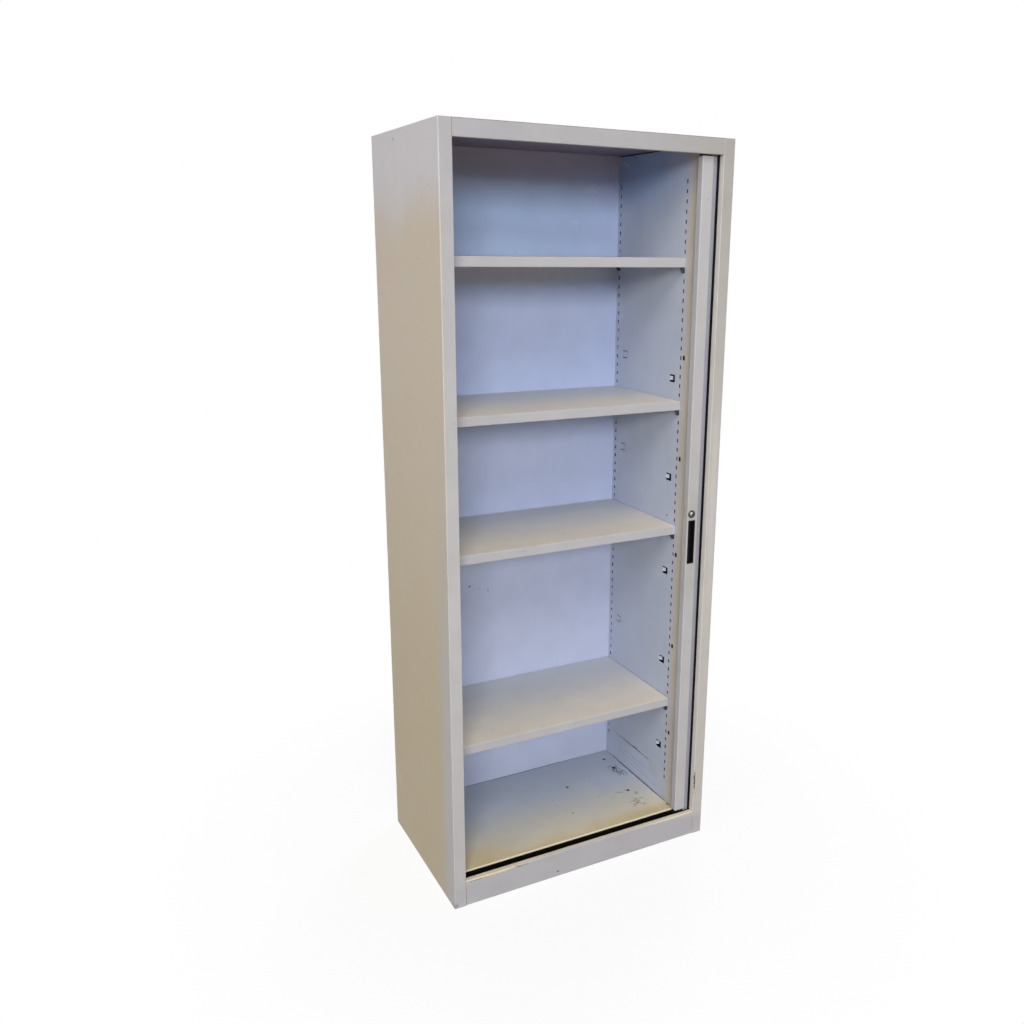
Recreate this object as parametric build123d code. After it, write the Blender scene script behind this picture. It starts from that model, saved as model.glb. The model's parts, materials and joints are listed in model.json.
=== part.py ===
"""Tall steel cupboard with a sideways tambour door, four shelves and levelling feet.

Millimetres. X runs to the right and Z up. Every depth below is measured back from the
cabinet's front face, and write() moves each piece so that the origin is the centre of
the base, on the floor. The door stands open, stacked behind the right stile.
"""

from build123d import *
import math
import os

# ---------------------------------------------------------------- driving dimensions
WIDTH = 800.0
DEPTH = 470.0
HEIGHT = 1980.0
PLINTH_HEIGHT = 75.0
RAIL_HEIGHT = 40.0

# Carcass sheet
SHEET = 1.0
STILE_WIDTH = 33.0
STILE_RETURN = 18.0
STILE_EDGE_RADIUS = 1.2
RETURN_NOTCH_GAP = 0.5
CORNER_RADIUS = 2.5
REAR_FLANGE = 25.0
FLANGE_DEPTH = 14.0
SEAM_GAP = 0.3
PLINTH_EDGE_RADIUS = 3.0
RAIL_EDGE_RADIUS = 1.6
SIDE_HOLE_RADIUS = 2.5
SIDE_HOLE_DEPTH = 300.0
SIDE_HOLE_DROP = 22.0

# Inner panels
LINER_SHEET = 0.8
LINER_INSET = 75.0
LINER_CLEARANCE = 2.3
INNER_BACK_GAP = 27.5
INNER_BACK_MARGIN = 20.0
CEILING_GAP = 3.5
POST_TRACK_GAP = 2.0
POST_SIDE_GAP = 1.0
POST_LAP = 18.0
POST_RADIUS = 1.5
FLOOR_FLANGE = 24.0
FLOOR_HEM = 6.0
FLOOR_HEM_RISE = 1.2
HEM_END_GAP = 1.0

# Shelf slots and other openings in the side liners
SLOT_PITCH = 25.4
SLOT_FIRST = 78.8
SLOT_TOP_MARGIN = 70.0
SLOT_WIDTH = 5.5
SLOT_LENGTH = 10.0
SLOT_FRONT_INSET = 7.0
SLOT_REAR_INSET = 13.9
HOLE_GROUP_COUNT = 11
PANEL_HOLE_START = 232.5
PANEL_HOLE_COLUMN = 82.0
PANEL_HOLE_WIDTH = 10.0
PANEL_HOLE_LENGTH = 12.0
TAB_START = 172.0
TAB_FRONT_COLUMN = 132.5
TAB_REAR_INSET = 57.5
TAB_WIDTH = 25.0
TAB_LENGTH = 21.0
TAB_CUT = 5.0
TAB_FRONT_CUT = 16.0
TAB_BEND = 5.0
TAB_SLIT = 2.0
TAB_REAR_RISE = 42.5
TOOL_HOLE_DEPTH = 134.0
TOOL_HOLE_HEIGHT = 897.0
TOOL_HOLE_RADIUS = 3.0
TOP_HOLE_DEPTH = 353.0
TOP_HOLE_DROP = 6.0

# Shelves and their clips
SHELF_SLOTS = (9, 30, 44, 59)
SHELF_THICKNESS = 25.0
SHELF_SHEET = 0.9
SHELF_FRONT = 89.0
SHELF_SIDE_GAP = 0.7
SHELF_BACK_GAP = 0.5
SHELF_RETURN = 13.0
SHELF_EDGE_RADIUS = 1.8
CLIP_THICKNESS = 3.0
CLIP_REACH = 13.0
CLIP_TONGUE = 4.0
CLIP_RISE = 10.3
CLIP_SLACK = 0.5
CLIP_HOOK = 9.0
CLIP_HOOK_THICKNESS = 2.0
CLIP_GRIP = 0.2

# Curtain tracks
TRACK_WALL = 1.5
TRACK_SETBACK = 2.5
TRACK_HEIGHT = 23.0
TRACK_DROP = 2.0
TRACK_TO_RAIL = 4.0
TRACK_REAR_RUN = 300.0
TRACK_BACK_GAP = 5.5

# Curtain slats
SLAT_WIDTH = 31.5
SLAT_THICKNESS = 0.5
SLAT_GAP = 0.16
SLAT_OVERLAP = 2.0
SLAT_SIDE_CLEARANCE = 0.49
SLAT_END_CLEARANCE = 0.5
SLAT_BOTTOM_CLEARANCE = 3.0
SLAT_TOP_CLEARANCE = 5.0

# Leading stile of the door
LEAD_CLEARANCE = 2.0
LEAD_WIDTH = 34.5
LEAD_DEPTH = 22.7
LEAD_SHEET = 1.2
LEAD_LIP = 9.5
LEAD_RADIUS = 3.0
LEAD_BOTTOM_GAP = 8.0
LEAD_TOP_GAP = 3.0
LEAD_STOP_GAP = 2.0
STEP_WIDTH = 15.1
STEP_CLEARANCE = 0.4
STEP_LEG = 8.0
STEP_RADIUS = 0.8
STEP_SLAT_GAP = 2.5

# Guide shoes in the ends of the leading stile
SHOE_FIT = 0.3
SHOE_WIDTH = 26.0
SHOE_PLUG = 16.0
SHOE_RISE = 3.0
SHOE_INSET = 2.0

# Flush pull
PULL_X = 14.6
PULL_BELOW_LOCK = 18.0
PULL_WIDTH = 22.0
PULL_HEIGHT = 125.0
PULL_DEPTH = 14.0
PULL_WALL = 1.5
PULL_BEZEL = 1.5
PULL_PROUD = 0.8
PULL_FIT = 0.2

# Cam lock
LOCK_X = 12.6
LOCK_HEIGHT = 1003.0
LOCK_COLLAR_RADIUS = 11.0
LOCK_COLLAR = 3.0
LOCK_COLLAR_ROUND = 2.0
LOCK_BARREL_RADIUS = 8.0
LOCK_PLUG_RADIUS = 5.5
LOCK_RUNNING_FIT = 0.08
LOCK_HOLE_FIT = 0.15
PLUG_SETBACK = 0.4
KEYWAY_WIDTH = 1.6
KEYWAY_HEIGHT = 7.0
KEYWAY_DEPTH = 9.0
NUT_FLATS = 19.0
NUT_THICKNESS = 4.0
NUT_FIT = 0.1
CAM_LENGTH = 24.0
CAM_WIDTH = 8.0
CAM_TAIL = 6.0
CAM_THICKNESS = 2.0
CAM_GAP = 0.3
CAM_REAR_GAP = 2.2
CAM_SLIT_BELOW = 7.0
CAM_SLIT_ABOVE = 23.3
CAM_SLIT_SLACK = 0.7
CAM_SCREW_RADIUS = 3.8
CAM_SCREW_HEAD = 1.8
SCREW_RADIUS = 1.5
SCREW_FIT = 0.05
SCREW_LENGTH = 8.0
SCREW_TIP_GAP = 0.5

# Strike plate on the left stile, and its rivets
STRIKE_THICKNESS = 1.0
STRIKE_FRONT = 3.0
STRIKE_REAR_GAP = 0.8
STRIKE_BELOW = 40.0
STRIKE_ABOVE = 50.0
STRIKE_SLACK = 3.0
RIVET_RADIUS = 1.9
RIVET_FIT = 0.05
RIVET_HEAD_RADIUS = 3.2
RIVET_HEAD = 0.8
RIVET_INSET = 8.0
RIVET_DEPTH = 7.5

# Rubber strip on the right stile
SEAL_LEG = 8.0
SEAL_LEG_THICKNESS = 2.0
SEAL_LIP = 6.0
SEAL_LIP_THICKNESS = 2.0

# Levelling feet and the rails that carry them
FOOT_INSET = 113.0
FOOT_FRONT = 75.0
FOOT_REAR_INSET = 79.0
FOOT_RADIUS = 18.0
FOOT_PAD = 7.0
FOOT_LIFT = 1.0
STEM_RADIUS = 5.0
STEM_FIT = 0.05
STEM_TOP = 52.0
FOOT_RAIL_WIDTH = 44.0
FOOT_RAIL_SHEET = 1.5
FOOT_RAIL_BOTTOM = 25.0
FOOT_RAIL_FRONT_GAP = 5.0
FOOT_RAIL_REAR_GAP = 14.5
ACCESS_RADIUS = 5.5

# ---------------------------------------------------------------- derived places
SIDE = WIDTH / 2
SIDE_INNER = SIDE - SHEET
STILE_INNER = SIDE - STILE_WIDTH
BODY_TOP = HEIGHT - SHEET
BACK_FRONT = DEPTH - SHEET
RAIL_BOTTOM = HEIGHT - RAIL_HEIGHT
FLOOR_TOP = PLINTH_HEIGHT
LEAD_FACE = FLANGE_DEPTH + LEAD_CLEARANCE
LEAD_BACK = LEAD_FACE + LEAD_DEPTH
LINER_FACE = SIDE - LINER_INSET
LEFT_LINER_FACE = -STILE_INNER
INNER_MIDDLE = (LINER_FACE + LEFT_LINER_FACE) / 2
INNER_BACK_FACE = BACK_FRONT - INNER_BACK_GAP
SLOT_BOTTOM = FLOOR_TOP + SLOT_FIRST
SLOT_FRONT_COLUMN = SHELF_FRONT + SLOT_FRONT_INSET
SLOT_REAR_COLUMN = INNER_BACK_FACE - SLOT_REAR_INSET
TAB_REAR_COLUMN = INNER_BACK_FACE - TAB_REAR_INSET
FOOT_X = SIDE - FOOT_INSET
FOOT_REAR = DEPTH - FOOT_REAR_INSET

LEAD_OPEN_LEFT = (SIDE_INNER - TRACK_WALL - SLAT_END_CLEARANCE - SLAT_WIDTH
                  - STEP_SLAT_GAP - STEP_WIDTH - LEAD_WIDTH)
LEAD_OPEN_RIGHT = LEAD_OPEN_LEFT + LEAD_WIDTH
LEAD_CLOSED_LEFT = -STILE_INNER + LEAD_STOP_GAP
DOOR_TRAVEL = LEAD_OPEN_LEFT - LEAD_CLOSED_LEFT
SLAT_COUNT = math.ceil(DOOR_TRAVEL / (SLAT_WIDTH - SLAT_OVERLAP)) - 1
SLAT_STEP = SLAT_THICKNESS + SLAT_GAP
SLAT_RIGHT = SIDE_INNER - TRACK_WALL - SLAT_END_CLEARANCE
SLAT_LEFT = SLAT_RIGHT - SLAT_WIDTH

GROOVE = SLAT_COUNT * SLAT_STEP + SLAT_THICKNESS + 2 * SLAT_SIDE_CLEARANCE
TRACK_WIDTH = GROOVE + 2 * TRACK_WALL
TRACK_FRONT = STILE_RETURN + TRACK_SETBACK
GROOVE_FRONT = TRACK_FRONT + TRACK_WALL
GROOVE_REAR = GROOVE_FRONT + GROOVE
TRACK_REAR = TRACK_FRONT + TRACK_WIDTH
LINER_FRONT = max(TRACK_REAR, LEAD_BACK) + LINER_CLEARANCE
TRACK_INNER_SIDE = SIDE_INNER - TRACK_WIDTH
REAR_RUN_REAR = BACK_FRONT - TRACK_BACK_GAP
REAR_RUN_FRONT = REAR_RUN_REAR - TRACK_WIDTH
LOWER_TRACK_TOP = FLOOR_TOP - TRACK_DROP
LOWER_TRACK_BOTTOM = LOWER_TRACK_TOP - TRACK_HEIGHT
UPPER_TRACK_BOTTOM = RAIL_BOTTOM + TRACK_TO_RAIL
UPPER_TRACK_TOP = UPPER_TRACK_BOTTOM + TRACK_HEIGHT
CEILING = UPPER_TRACK_TOP
LINER_TOP = CEILING - CEILING_GAP
SLOT_COUNT = int((LINER_TOP - SLOT_TOP_MARGIN - SLOT_BOTTOM) // SLOT_PITCH) + 1

SLAT_BOTTOM = LOWER_TRACK_BOTTOM + TRACK_WALL + SLAT_BOTTOM_CLEARANCE
SLAT_TOP = UPPER_TRACK_TOP - TRACK_WALL - SLAT_TOP_CLEARANCE
REAR_PLANE = GROOVE_REAR - SLAT_SIDE_CLEARANCE - SLAT_THICKNESS
LEAD_BOTTOM = FLOOR_TOP + LEAD_BOTTOM_GAP
LEAD_TOP = RAIL_BOTTOM - LEAD_TOP_GAP
LOCK_CENTRE = LEAD_OPEN_LEFT + LOCK_X
PULL_CENTRE = LEAD_OPEN_LEFT + PULL_X
PULL_BOTTOM = LOCK_HEIGHT - PULL_BELOW_LOCK - PULL_HEIGHT
CAM_REAR = LEAD_BACK - LEAD_SHEET - CAM_REAR_GAP
CAM_FRONT = CAM_REAR - CAM_THICKNESS


# ---------------------------------------------------------------- small helpers
def block(x, y, z):
    """A block between the two ends given for each axis."""
    size = Box(x[1] - x[0], y[1] - y[0], z[1] - z[0])
    return Pos((x[0] + x[1]) / 2, (y[0] + y[1]) / 2, (z[0] + z[1]) / 2) * size


def rod(radius, x, y, z):
    """A round bar along Y, from y[0] to y[1], centred on x and z."""
    bar = Cylinder(radius, y[1] - y[0], rotation=(90, 0, 0))
    return Pos(x, (y[0] + y[1]) / 2, z) * bar


def pillar(radius, x, y, z):
    """A round bar along Z, from z[0] to z[1], centred on x and y."""
    return Pos(x, y, (z[0] + z[1]) / 2) * Cylinder(radius, z[1] - z[0])


def folded_section(points, thickness, radius):
    """Closed outline of bent sheet: the outer face's corners, and the sheet to its left.

    The radius is one value, or a list with one for each corner.
    """
    face_line = FilletPolyline(*points, radius=radius)
    return make_face(offset(face_line, thickness, side=Side.LEFT))


def upright(points, thickness, radius, z):
    """Bent sheet with a constant plan section, from z[0] to z[1]."""
    section = folded_section(points, thickness, radius)
    return Pos(0, 0, z[0]) * extrude(section, z[1] - z[0])


def crosswise(points, thickness, radius, x):
    """Bent sheet with a constant side section, given as (depth, height), from x[0] to x[1]."""
    section = Plane.YZ * folded_section(points, thickness, radius)
    return Pos(x[0], 0, 0) * extrude(section, x[1] - x[0], dir=(1, 0, 0))


def mirrored(shape, middle=0):
    """The same piece for the left side, mirrored about the plane x = middle."""
    return mirror(shape, about=Plane.YZ.offset(middle))


def write(node, shape):
    """Save one node, with the origin at the centre of the cabinet's base."""
    export_step(Pos(0, -DEPTH / 2, 0) * shape, f"parts/{node}.step")


# ---------------------------------------------------------------- carcass
def side_panel():
    """Right side: outer sheet with the front stile, its return, notched at the tracks, and rear flange."""
    corners = [
        (STILE_INNER, STILE_RETURN),
        (STILE_INNER, 0),
        (SIDE, 0),
        (SIDE, BACK_FRONT),
        (SIDE - REAR_FLANGE, BACK_FRONT),
    ]
    radii = [STILE_EDGE_RADIUS, CORNER_RADIUS, CORNER_RADIUS]
    panel = upright(corners, SHEET, radii, (0, BODY_TOP))
    notch_x = (STILE_INNER - SHEET, STILE_INNER + 2 * SHEET)
    notch_y = (FLANGE_DEPTH - RETURN_NOTCH_GAP, STILE_RETURN + SHEET)
    notches = [block(notch_x, notch_y, z) for z in ((-SHEET, FLOOR_TOP), (RAIL_BOTTOM, HEIGHT))]
    hole = Cylinder(SIDE_HOLE_RADIUS, 4 * SHEET, rotation=(0, 90, 0))
    return panel - notches - Pos(SIDE, SIDE_HOLE_DEPTH, HEIGHT - SIDE_HOLE_DROP) * hole


def left_side_panel():
    """Left side, with rivet holes for the strike plate in the stile's return."""
    return mirrored(side_panel()) - [rivet_hole(z) for z in rivet_heights()]


def top_panel():
    cap = block((-SIDE, SIDE), (0, DEPTH), (BODY_TOP, HEIGHT))
    return fillet(cap.edges().filter_by(Axis.Z).group_by(Axis.Y)[0], CORNER_RADIUS)


def front_channel(z, radius):
    """Channel between the stiles, closed to the front, with a flange top and bottom."""
    corners = [(FLANGE_DEPTH, z[1]), (0, z[1]), (0, z[0]), (FLANGE_DEPTH, z[0])]
    half = STILE_INNER - SEAM_GAP
    return crosswise(corners, SHEET, radius, (-half, half))


def back_panel():
    return block((-SIDE, SIDE), (BACK_FRONT, DEPTH), (0, BODY_TOP))


def floor_panel():
    """Cupboard floor: a tray turned upside down, with a front hem and holes to reach the rear feet."""
    x = (-SIDE_INNER, TRACK_INNER_SIDE)
    y = (TRACK_REAR, REAR_RUN_FRONT)
    tray = block(x, y, (FLOOR_TOP - FLOOR_FLANGE, FLOOR_TOP))
    hollow = block((x[0] + SHEET, x[1] - SHEET), (y[0] + SHEET, y[1] - SHEET),
                   (FLOOR_TOP - FLOOR_FLANGE, FLOOR_TOP - SHEET))
    hem = block((LEFT_LINER_FACE + HEM_END_GAP, LINER_FACE - HEM_END_GAP), (y[0], y[0] + FLOOR_HEM),
                (FLOOR_TOP - SHEET, FLOOR_TOP + FLOOR_HEM_RISE))
    hem = fillet(hem.edges().filter_by(Axis.X).group_by(Axis.Z)[-1], FLOOR_HEM_RISE / 2)
    holes = [pillar(ACCESS_RADIUS, side * FOOT_X, FOOT_REAR, (FLOOR_TOP - 2 * SHEET, FLOOR_TOP + SHEET))
             for side in (-1, 1)]
    return tray - hollow - holes + hem


def ceiling_panel():
    return block((-SIDE_INNER, SIDE_INNER), (FLANGE_DEPTH, REAR_RUN_REAR), (CEILING, CEILING + LINER_SHEET))


# ---------------------------------------------------------------- inner panels
def slot_height(index):
    return SLOT_BOTTOM + index * SLOT_PITCH


def window(y, z, width, height):
    """Cutter through the right liner, centred on a depth and a height."""
    return block((LINER_FACE - LINER_SHEET, LINER_FACE + 2 * LINER_SHEET),
                 (y - width / 2, y + width / 2), (z - height / 2, z + height / 2))


def lanced_tab(y, z, cut, front_cut, bend):
    """Tab joined along its window's rear edge, with its front end bent away from the shelves."""
    rear = y + TAB_WIDTH / 2
    front = y - TAB_WIDTH / 2 + front_cut
    outline = [
        (LINER_FACE, rear),
        (LINER_FACE + bend, front),
        (LINER_FACE + bend + LINER_SHEET, front),
        (LINER_FACE + LINER_SHEET, rear),
    ]
    height = TAB_LENGTH - 2 * cut
    return Pos(0, 0, z - height / 2) * extrude(make_face(Polyline(*outline, close=True)), height)


def side_liner():
    """Right liner: flat sheet with two columns of shelf slots, holes and lanced tabs.

    The front tabs are short and bent into the wall; the rear ones are only slit.
    """
    sheet = block((LINER_FACE, LINER_FACE + LINER_SHEET), (LINER_FRONT, INNER_BACK_FACE),
                  (FLOOR_TOP, LINER_TOP))
    cuts = []
    tabs = []
    for column in (SLOT_FRONT_COLUMN, SLOT_REAR_COLUMN):
        for index in range(SLOT_COUNT):
            cuts.append(window(column, slot_height(index), SLOT_WIDTH, SLOT_LENGTH))
    group = HOLE_GROUP_COUNT * SLOT_PITCH
    for repeat in range(SLOT_COUNT // HOLE_GROUP_COUNT - 1):
        hole_z = FLOOR_TOP + PANEL_HOLE_START + repeat * group
        tab_z = FLOOR_TOP + TAB_START + repeat * group
        cuts.append(window(PANEL_HOLE_COLUMN, hole_z, PANEL_HOLE_WIDTH, PANEL_HOLE_LENGTH))
        rear_z = tab_z + TAB_REAR_RISE
        cuts.append(window(TAB_FRONT_COLUMN, tab_z, TAB_WIDTH, TAB_LENGTH))
        tabs.append(lanced_tab(TAB_FRONT_COLUMN, tab_z, TAB_CUT, TAB_FRONT_CUT, TAB_BEND))
        cuts.append(window(TAB_REAR_COLUMN, rear_z, TAB_WIDTH, TAB_LENGTH))
        tabs.append(lanced_tab(TAB_REAR_COLUMN, rear_z, TAB_SLIT, TAB_SLIT, 0))
    hole = Cylinder(TOOL_HOLE_RADIUS, 4 * LINER_SHEET, rotation=(0, 90, 0))
    cuts.append(Pos(LINER_FACE, TOOL_HOLE_DEPTH, FLOOR_TOP + TOOL_HOLE_HEIGHT) * hole)
    cuts.append(Pos(LINER_FACE, TOP_HOLE_DEPTH, LINER_TOP - TOP_HOLE_DROP) * hole)
    return sheet - cuts + tabs


def liner_post(end):
    """Right post: angle that closes the front of the space behind the liner, as far as x = end."""
    inner = LINER_FACE + LINER_SHEET
    corners = [(inner, LINER_FRONT + POST_LAP), (inner, LINER_FRONT), (end, LINER_FRONT)]
    return upright(corners, LINER_SHEET, POST_RADIUS, (FLOOR_TOP, LINER_TOP))


def inner_back_panel():
    x = (LEFT_LINER_FACE - INNER_BACK_MARGIN, LINER_FACE + INNER_BACK_MARGIN)
    return block(x, (INNER_BACK_FACE, INNER_BACK_FACE + LINER_SHEET), (FLOOR_TOP, CEILING))


# ---------------------------------------------------------------- shelves
def shelf(underside):
    """Folded tray shelf, turned upside down, with a rounded front edge."""
    front = SHELF_FRONT
    rear = INNER_BACK_FACE - SHELF_BACK_GAP
    top = underside + SHELF_THICKNESS
    left = LEFT_LINER_FACE + SHELF_SIDE_GAP
    right = LINER_FACE - SHELF_SIDE_GAP
    corners = [
        (rear, underside),
        (rear, top),
        (front, top),
        (front, underside),
        (front + SHELF_RETURN, underside),
    ]
    tray = crosswise(corners, SHELF_SHEET, SHELF_EDGE_RADIUS, (left, right))
    lip = block((right - SHELF_SHEET, right), (front + SHELF_EDGE_RADIUS, rear - SHELF_SHEET),
                (underside, top - SHELF_SHEET))
    lip += block((right - SHELF_RETURN, right), (front + SHELF_RETURN, rear - SHELF_SHEET),
                 (underside, underside + SHELF_SHEET))
    return tray + lip + mirrored(lip, INNER_MIDDLE)


def shelf_clip(column, slot_z):
    """Right clip: a hook behind the liner, a neck through its slot and a tongue inside."""
    low = -SLOT_LENGTH / 2 + CLIP_SLACK
    high = SLOT_LENGTH / 2 - CLIP_SLACK
    behind = LINER_FACE + LINER_SHEET + CLIP_GRIP
    back = behind + CLIP_HOOK_THICKNESS
    outline = [
        (LINER_FACE - CLIP_REACH, CLIP_RISE),
        (LINER_FACE, CLIP_RISE),
        (LINER_FACE, high),
        (back, high),
        (back, low - CLIP_HOOK),
        (behind, low - CLIP_HOOK),
        (behind, low),
        (LINER_FACE - CLIP_REACH / 2, low),
        (LINER_FACE - CLIP_REACH, CLIP_RISE - CLIP_TONGUE),
    ]
    face = Plane.XZ * make_face(Polyline(*outline, close=True))
    return Pos(0, column - CLIP_THICKNESS / 2, slot_z) * extrude(face, CLIP_THICKNESS, dir=(0, 1, 0))


def shelf_clips():
    clips = []
    for index in SHELF_SLOTS:
        for column in (SLOT_FRONT_COLUMN, SLOT_REAR_COLUMN):
            clip = shelf_clip(column, slot_height(index))
            clips += [clip, mirrored(clip, INNER_MIDDLE)]
    return Compound(clips)


# ---------------------------------------------------------------- curtain
def track(z, plate, ledge):
    """Channel for the curtain's edge: across the front, along the right side and part of the back.

    The plate closes the channel on one side, and a ledge on the open side reaches to the front flange.
    """
    rear_end = SIDE_INNER - TRACK_REAR_RUN
    body = block((-SIDE_INNER, SIDE_INNER), (TRACK_FRONT, TRACK_REAR), z)
    body += block((TRACK_INNER_SIDE, SIDE_INNER), (TRACK_FRONT, REAR_RUN_REAR), z)
    body += block((rear_end, SIDE_INNER), (REAR_RUN_FRONT, REAR_RUN_REAR), z)
    body += block((-SIDE_INNER, SIDE_INNER), (FLANGE_DEPTH, TRACK_FRONT), ledge)
    right = SIDE_INNER - TRACK_WALL
    side_left = TRACK_INNER_SIDE + TRACK_WALL
    rear = REAR_RUN_REAR - TRACK_WALL
    groove = block((-SIDE_INNER + TRACK_WALL, right), (GROOVE_FRONT, GROOVE_REAR), z)
    groove += block((side_left, right), (GROOVE_FRONT, rear), z)
    groove += block((rear_end + TRACK_WALL, right), (REAR_RUN_FRONT + TRACK_WALL, rear), z)
    return body - (groove - block((-SIDE, SIDE), (0, DEPTH), plate))


def lower_track():
    z = (LOWER_TRACK_BOTTOM, LOWER_TRACK_TOP)
    return track(z, (z[0], z[0] + TRACK_WALL), (z[1] - TRACK_WALL, z[1]))


def upper_track():
    z = (UPPER_TRACK_BOTTOM, UPPER_TRACK_TOP)
    return track(z, (z[1] - TRACK_WALL, z[1]), (z[0], z[0] + TRACK_WALL))


def slat(number):
    """One steel slat of the curtain, in its own plane of the stack."""
    front = REAR_PLANE - number * SLAT_STEP
    return block((SLAT_LEFT, SLAT_RIGHT), (front, front + SLAT_THICKNESS), (SLAT_BOTTOM, SLAT_TOP))


def lead_stile():
    """Folded leading stile, open at the back, with cut-outs for the pull, the lock and its cam."""
    left = LEAD_OPEN_LEFT
    right = LEAD_OPEN_RIGHT
    corners = [
        (left + LEAD_LIP, LEAD_BACK),
        (left, LEAD_BACK),
        (left, LEAD_FACE),
        (right, LEAD_FACE),
        (right, LEAD_BACK),
        (right - LEAD_LIP, LEAD_BACK),
    ]
    stile = upright(corners, LEAD_SHEET, LEAD_RADIUS, (LEAD_BOTTOM, LEAD_TOP))
    sheet = (LEAD_FACE - LEAD_SHEET, LEAD_FACE + 2 * LEAD_SHEET)
    inset = PULL_BEZEL - PULL_FIT
    pull_hole = block((PULL_CENTRE - PULL_WIDTH / 2 + inset, PULL_CENTRE + PULL_WIDTH / 2 - inset), sheet,
                      (PULL_BOTTOM + inset, PULL_BOTTOM + PULL_HEIGHT - inset))
    lock_hole = rod(LOCK_BARREL_RADIUS + LOCK_HOLE_FIT, LOCK_CENTRE, sheet, LOCK_HEIGHT)
    cam_slit = block((left - LEAD_SHEET, left + 2 * LEAD_SHEET),
                     (CAM_FRONT - CAM_SLIT_SLACK, CAM_REAR + CAM_SLIT_SLACK),
                     (LOCK_HEIGHT - CAM_SLIT_BELOW, LOCK_HEIGHT + CAM_SLIT_ABOVE))
    return stile - pull_hole - lock_hole - cam_slit


def lead_step():
    """Folded strip on the stile's right side, ending in the curtain's first slat."""
    right = LEAD_OPEN_RIGHT
    front = GROOVE_FRONT + STEP_CLEARANCE
    corners = [
        (right, front + STEP_LEG),
        (right, front),
        (right + STEP_WIDTH, front),
        (right + STEP_WIDTH, REAR_PLANE),
        (SLAT_RIGHT, REAR_PLANE),
    ]
    return upright(corners, SLAT_THICKNESS, STEP_RADIUS, (SLAT_BOTTOM, SLAT_TOP))


def guide_shoes():
    """Plastic shoes in both ends of the leading stile, running in the tracks."""
    middle = LEAD_OPEN_LEFT + LEAD_WIDTH / 2
    head_x = (middle - SHOE_WIDTH / 2, middle + SHOE_WIDTH / 2)
    head_y = (GROOVE_FRONT + SHOE_FIT, GROOVE_REAR - SHOE_FIT)
    plug_x = (LEAD_OPEN_LEFT + SHOE_INSET, LEAD_OPEN_RIGHT - SHOE_INSET)
    plug_y = (LEAD_FACE + SHOE_INSET, LEAD_BACK - SHOE_INSET)
    low = block(head_x, head_y, (LOWER_TRACK_BOTTOM + TRACK_WALL + SHOE_RISE, LEAD_BOTTOM))
    low += block(plug_x, plug_y, (LEAD_BOTTOM, LEAD_BOTTOM + SHOE_PLUG))
    high = block(head_x, head_y, (LEAD_TOP, UPPER_TRACK_TOP - TRACK_WALL - SHOE_RISE))
    high += block(plug_x, plug_y, (LEAD_TOP - SHOE_PLUG, LEAD_TOP))
    return Compound([low, high])


def seal_strip():
    """Rubber strip along the right stile's return, with a lip towards the opening."""
    inner = STILE_INNER + SHEET
    z = (FLOOR_TOP, RAIL_BOTTOM)
    leg = block((inner, inner + SEAL_LEG_THICKNESS), (STILE_RETURN - SEAL_LEG, STILE_RETURN), z)
    lip = block((STILE_INNER - SEAL_LIP, inner + SEAL_LEG_THICKNESS),
                (STILE_RETURN, STILE_RETURN + SEAL_LIP_THICKNESS), z)
    return leg + lip


# ---------------------------------------------------------------- pull and lock
def pull_cup():
    """Recessed finger pull with a thin bezel."""
    x = (PULL_CENTRE - PULL_WIDTH / 2, PULL_CENTRE + PULL_WIDTH / 2)
    z = (PULL_BOTTOM, PULL_BOTTOM + PULL_HEIGHT)
    bezel = block(x, (LEAD_FACE - PULL_PROUD, LEAD_FACE), z)
    cup = block((x[0] + PULL_BEZEL, x[1] - PULL_BEZEL), (LEAD_FACE, LEAD_FACE + PULL_DEPTH),
                (z[0] + PULL_BEZEL, z[1] - PULL_BEZEL))
    rim = PULL_BEZEL + PULL_WALL
    recess = block((x[0] + rim, x[1] - rim), (LEAD_FACE - PULL_PROUD, LEAD_FACE + PULL_DEPTH - PULL_WALL),
                   (z[0] + rim, z[1] - rim))
    return bezel + cup - recess


def lock_barrel():
    """Housing of the cam lock, with its rounded collar against the stile's face."""
    front = LEAD_FACE - LOCK_COLLAR
    collar = rod(LOCK_COLLAR_RADIUS, LOCK_CENTRE, (front, LEAD_FACE), LOCK_HEIGHT)
    collar = fillet(collar.edges().filter_by(GeomType.CIRCLE).group_by(Axis.Y)[0], LOCK_COLLAR_ROUND)
    barrel = collar + rod(LOCK_BARREL_RADIUS, LOCK_CENTRE, (front, CAM_FRONT - CAM_GAP), LOCK_HEIGHT)
    bore = rod(LOCK_PLUG_RADIUS + LOCK_RUNNING_FIT, LOCK_CENTRE, (front, CAM_FRONT), LOCK_HEIGHT)
    return barrel - bore


def lock_nut():
    """Hexagon nut that clamps the lock to the stile's front sheet."""
    y = (LEAD_FACE + LEAD_SHEET, LEAD_FACE + LEAD_SHEET + NUT_THICKNESS)
    hexagon = Plane.XZ * RegularPolygon(NUT_FLATS / 2, 6, major_radius=False, rotation=30)
    nut = Pos(LOCK_CENTRE, y[0], LOCK_HEIGHT) * extrude(hexagon, NUT_THICKNESS, dir=(0, 1, 0))
    return nut - rod(LOCK_BARREL_RADIUS + NUT_FIT, LOCK_CENTRE, y, LOCK_HEIGHT)


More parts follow.
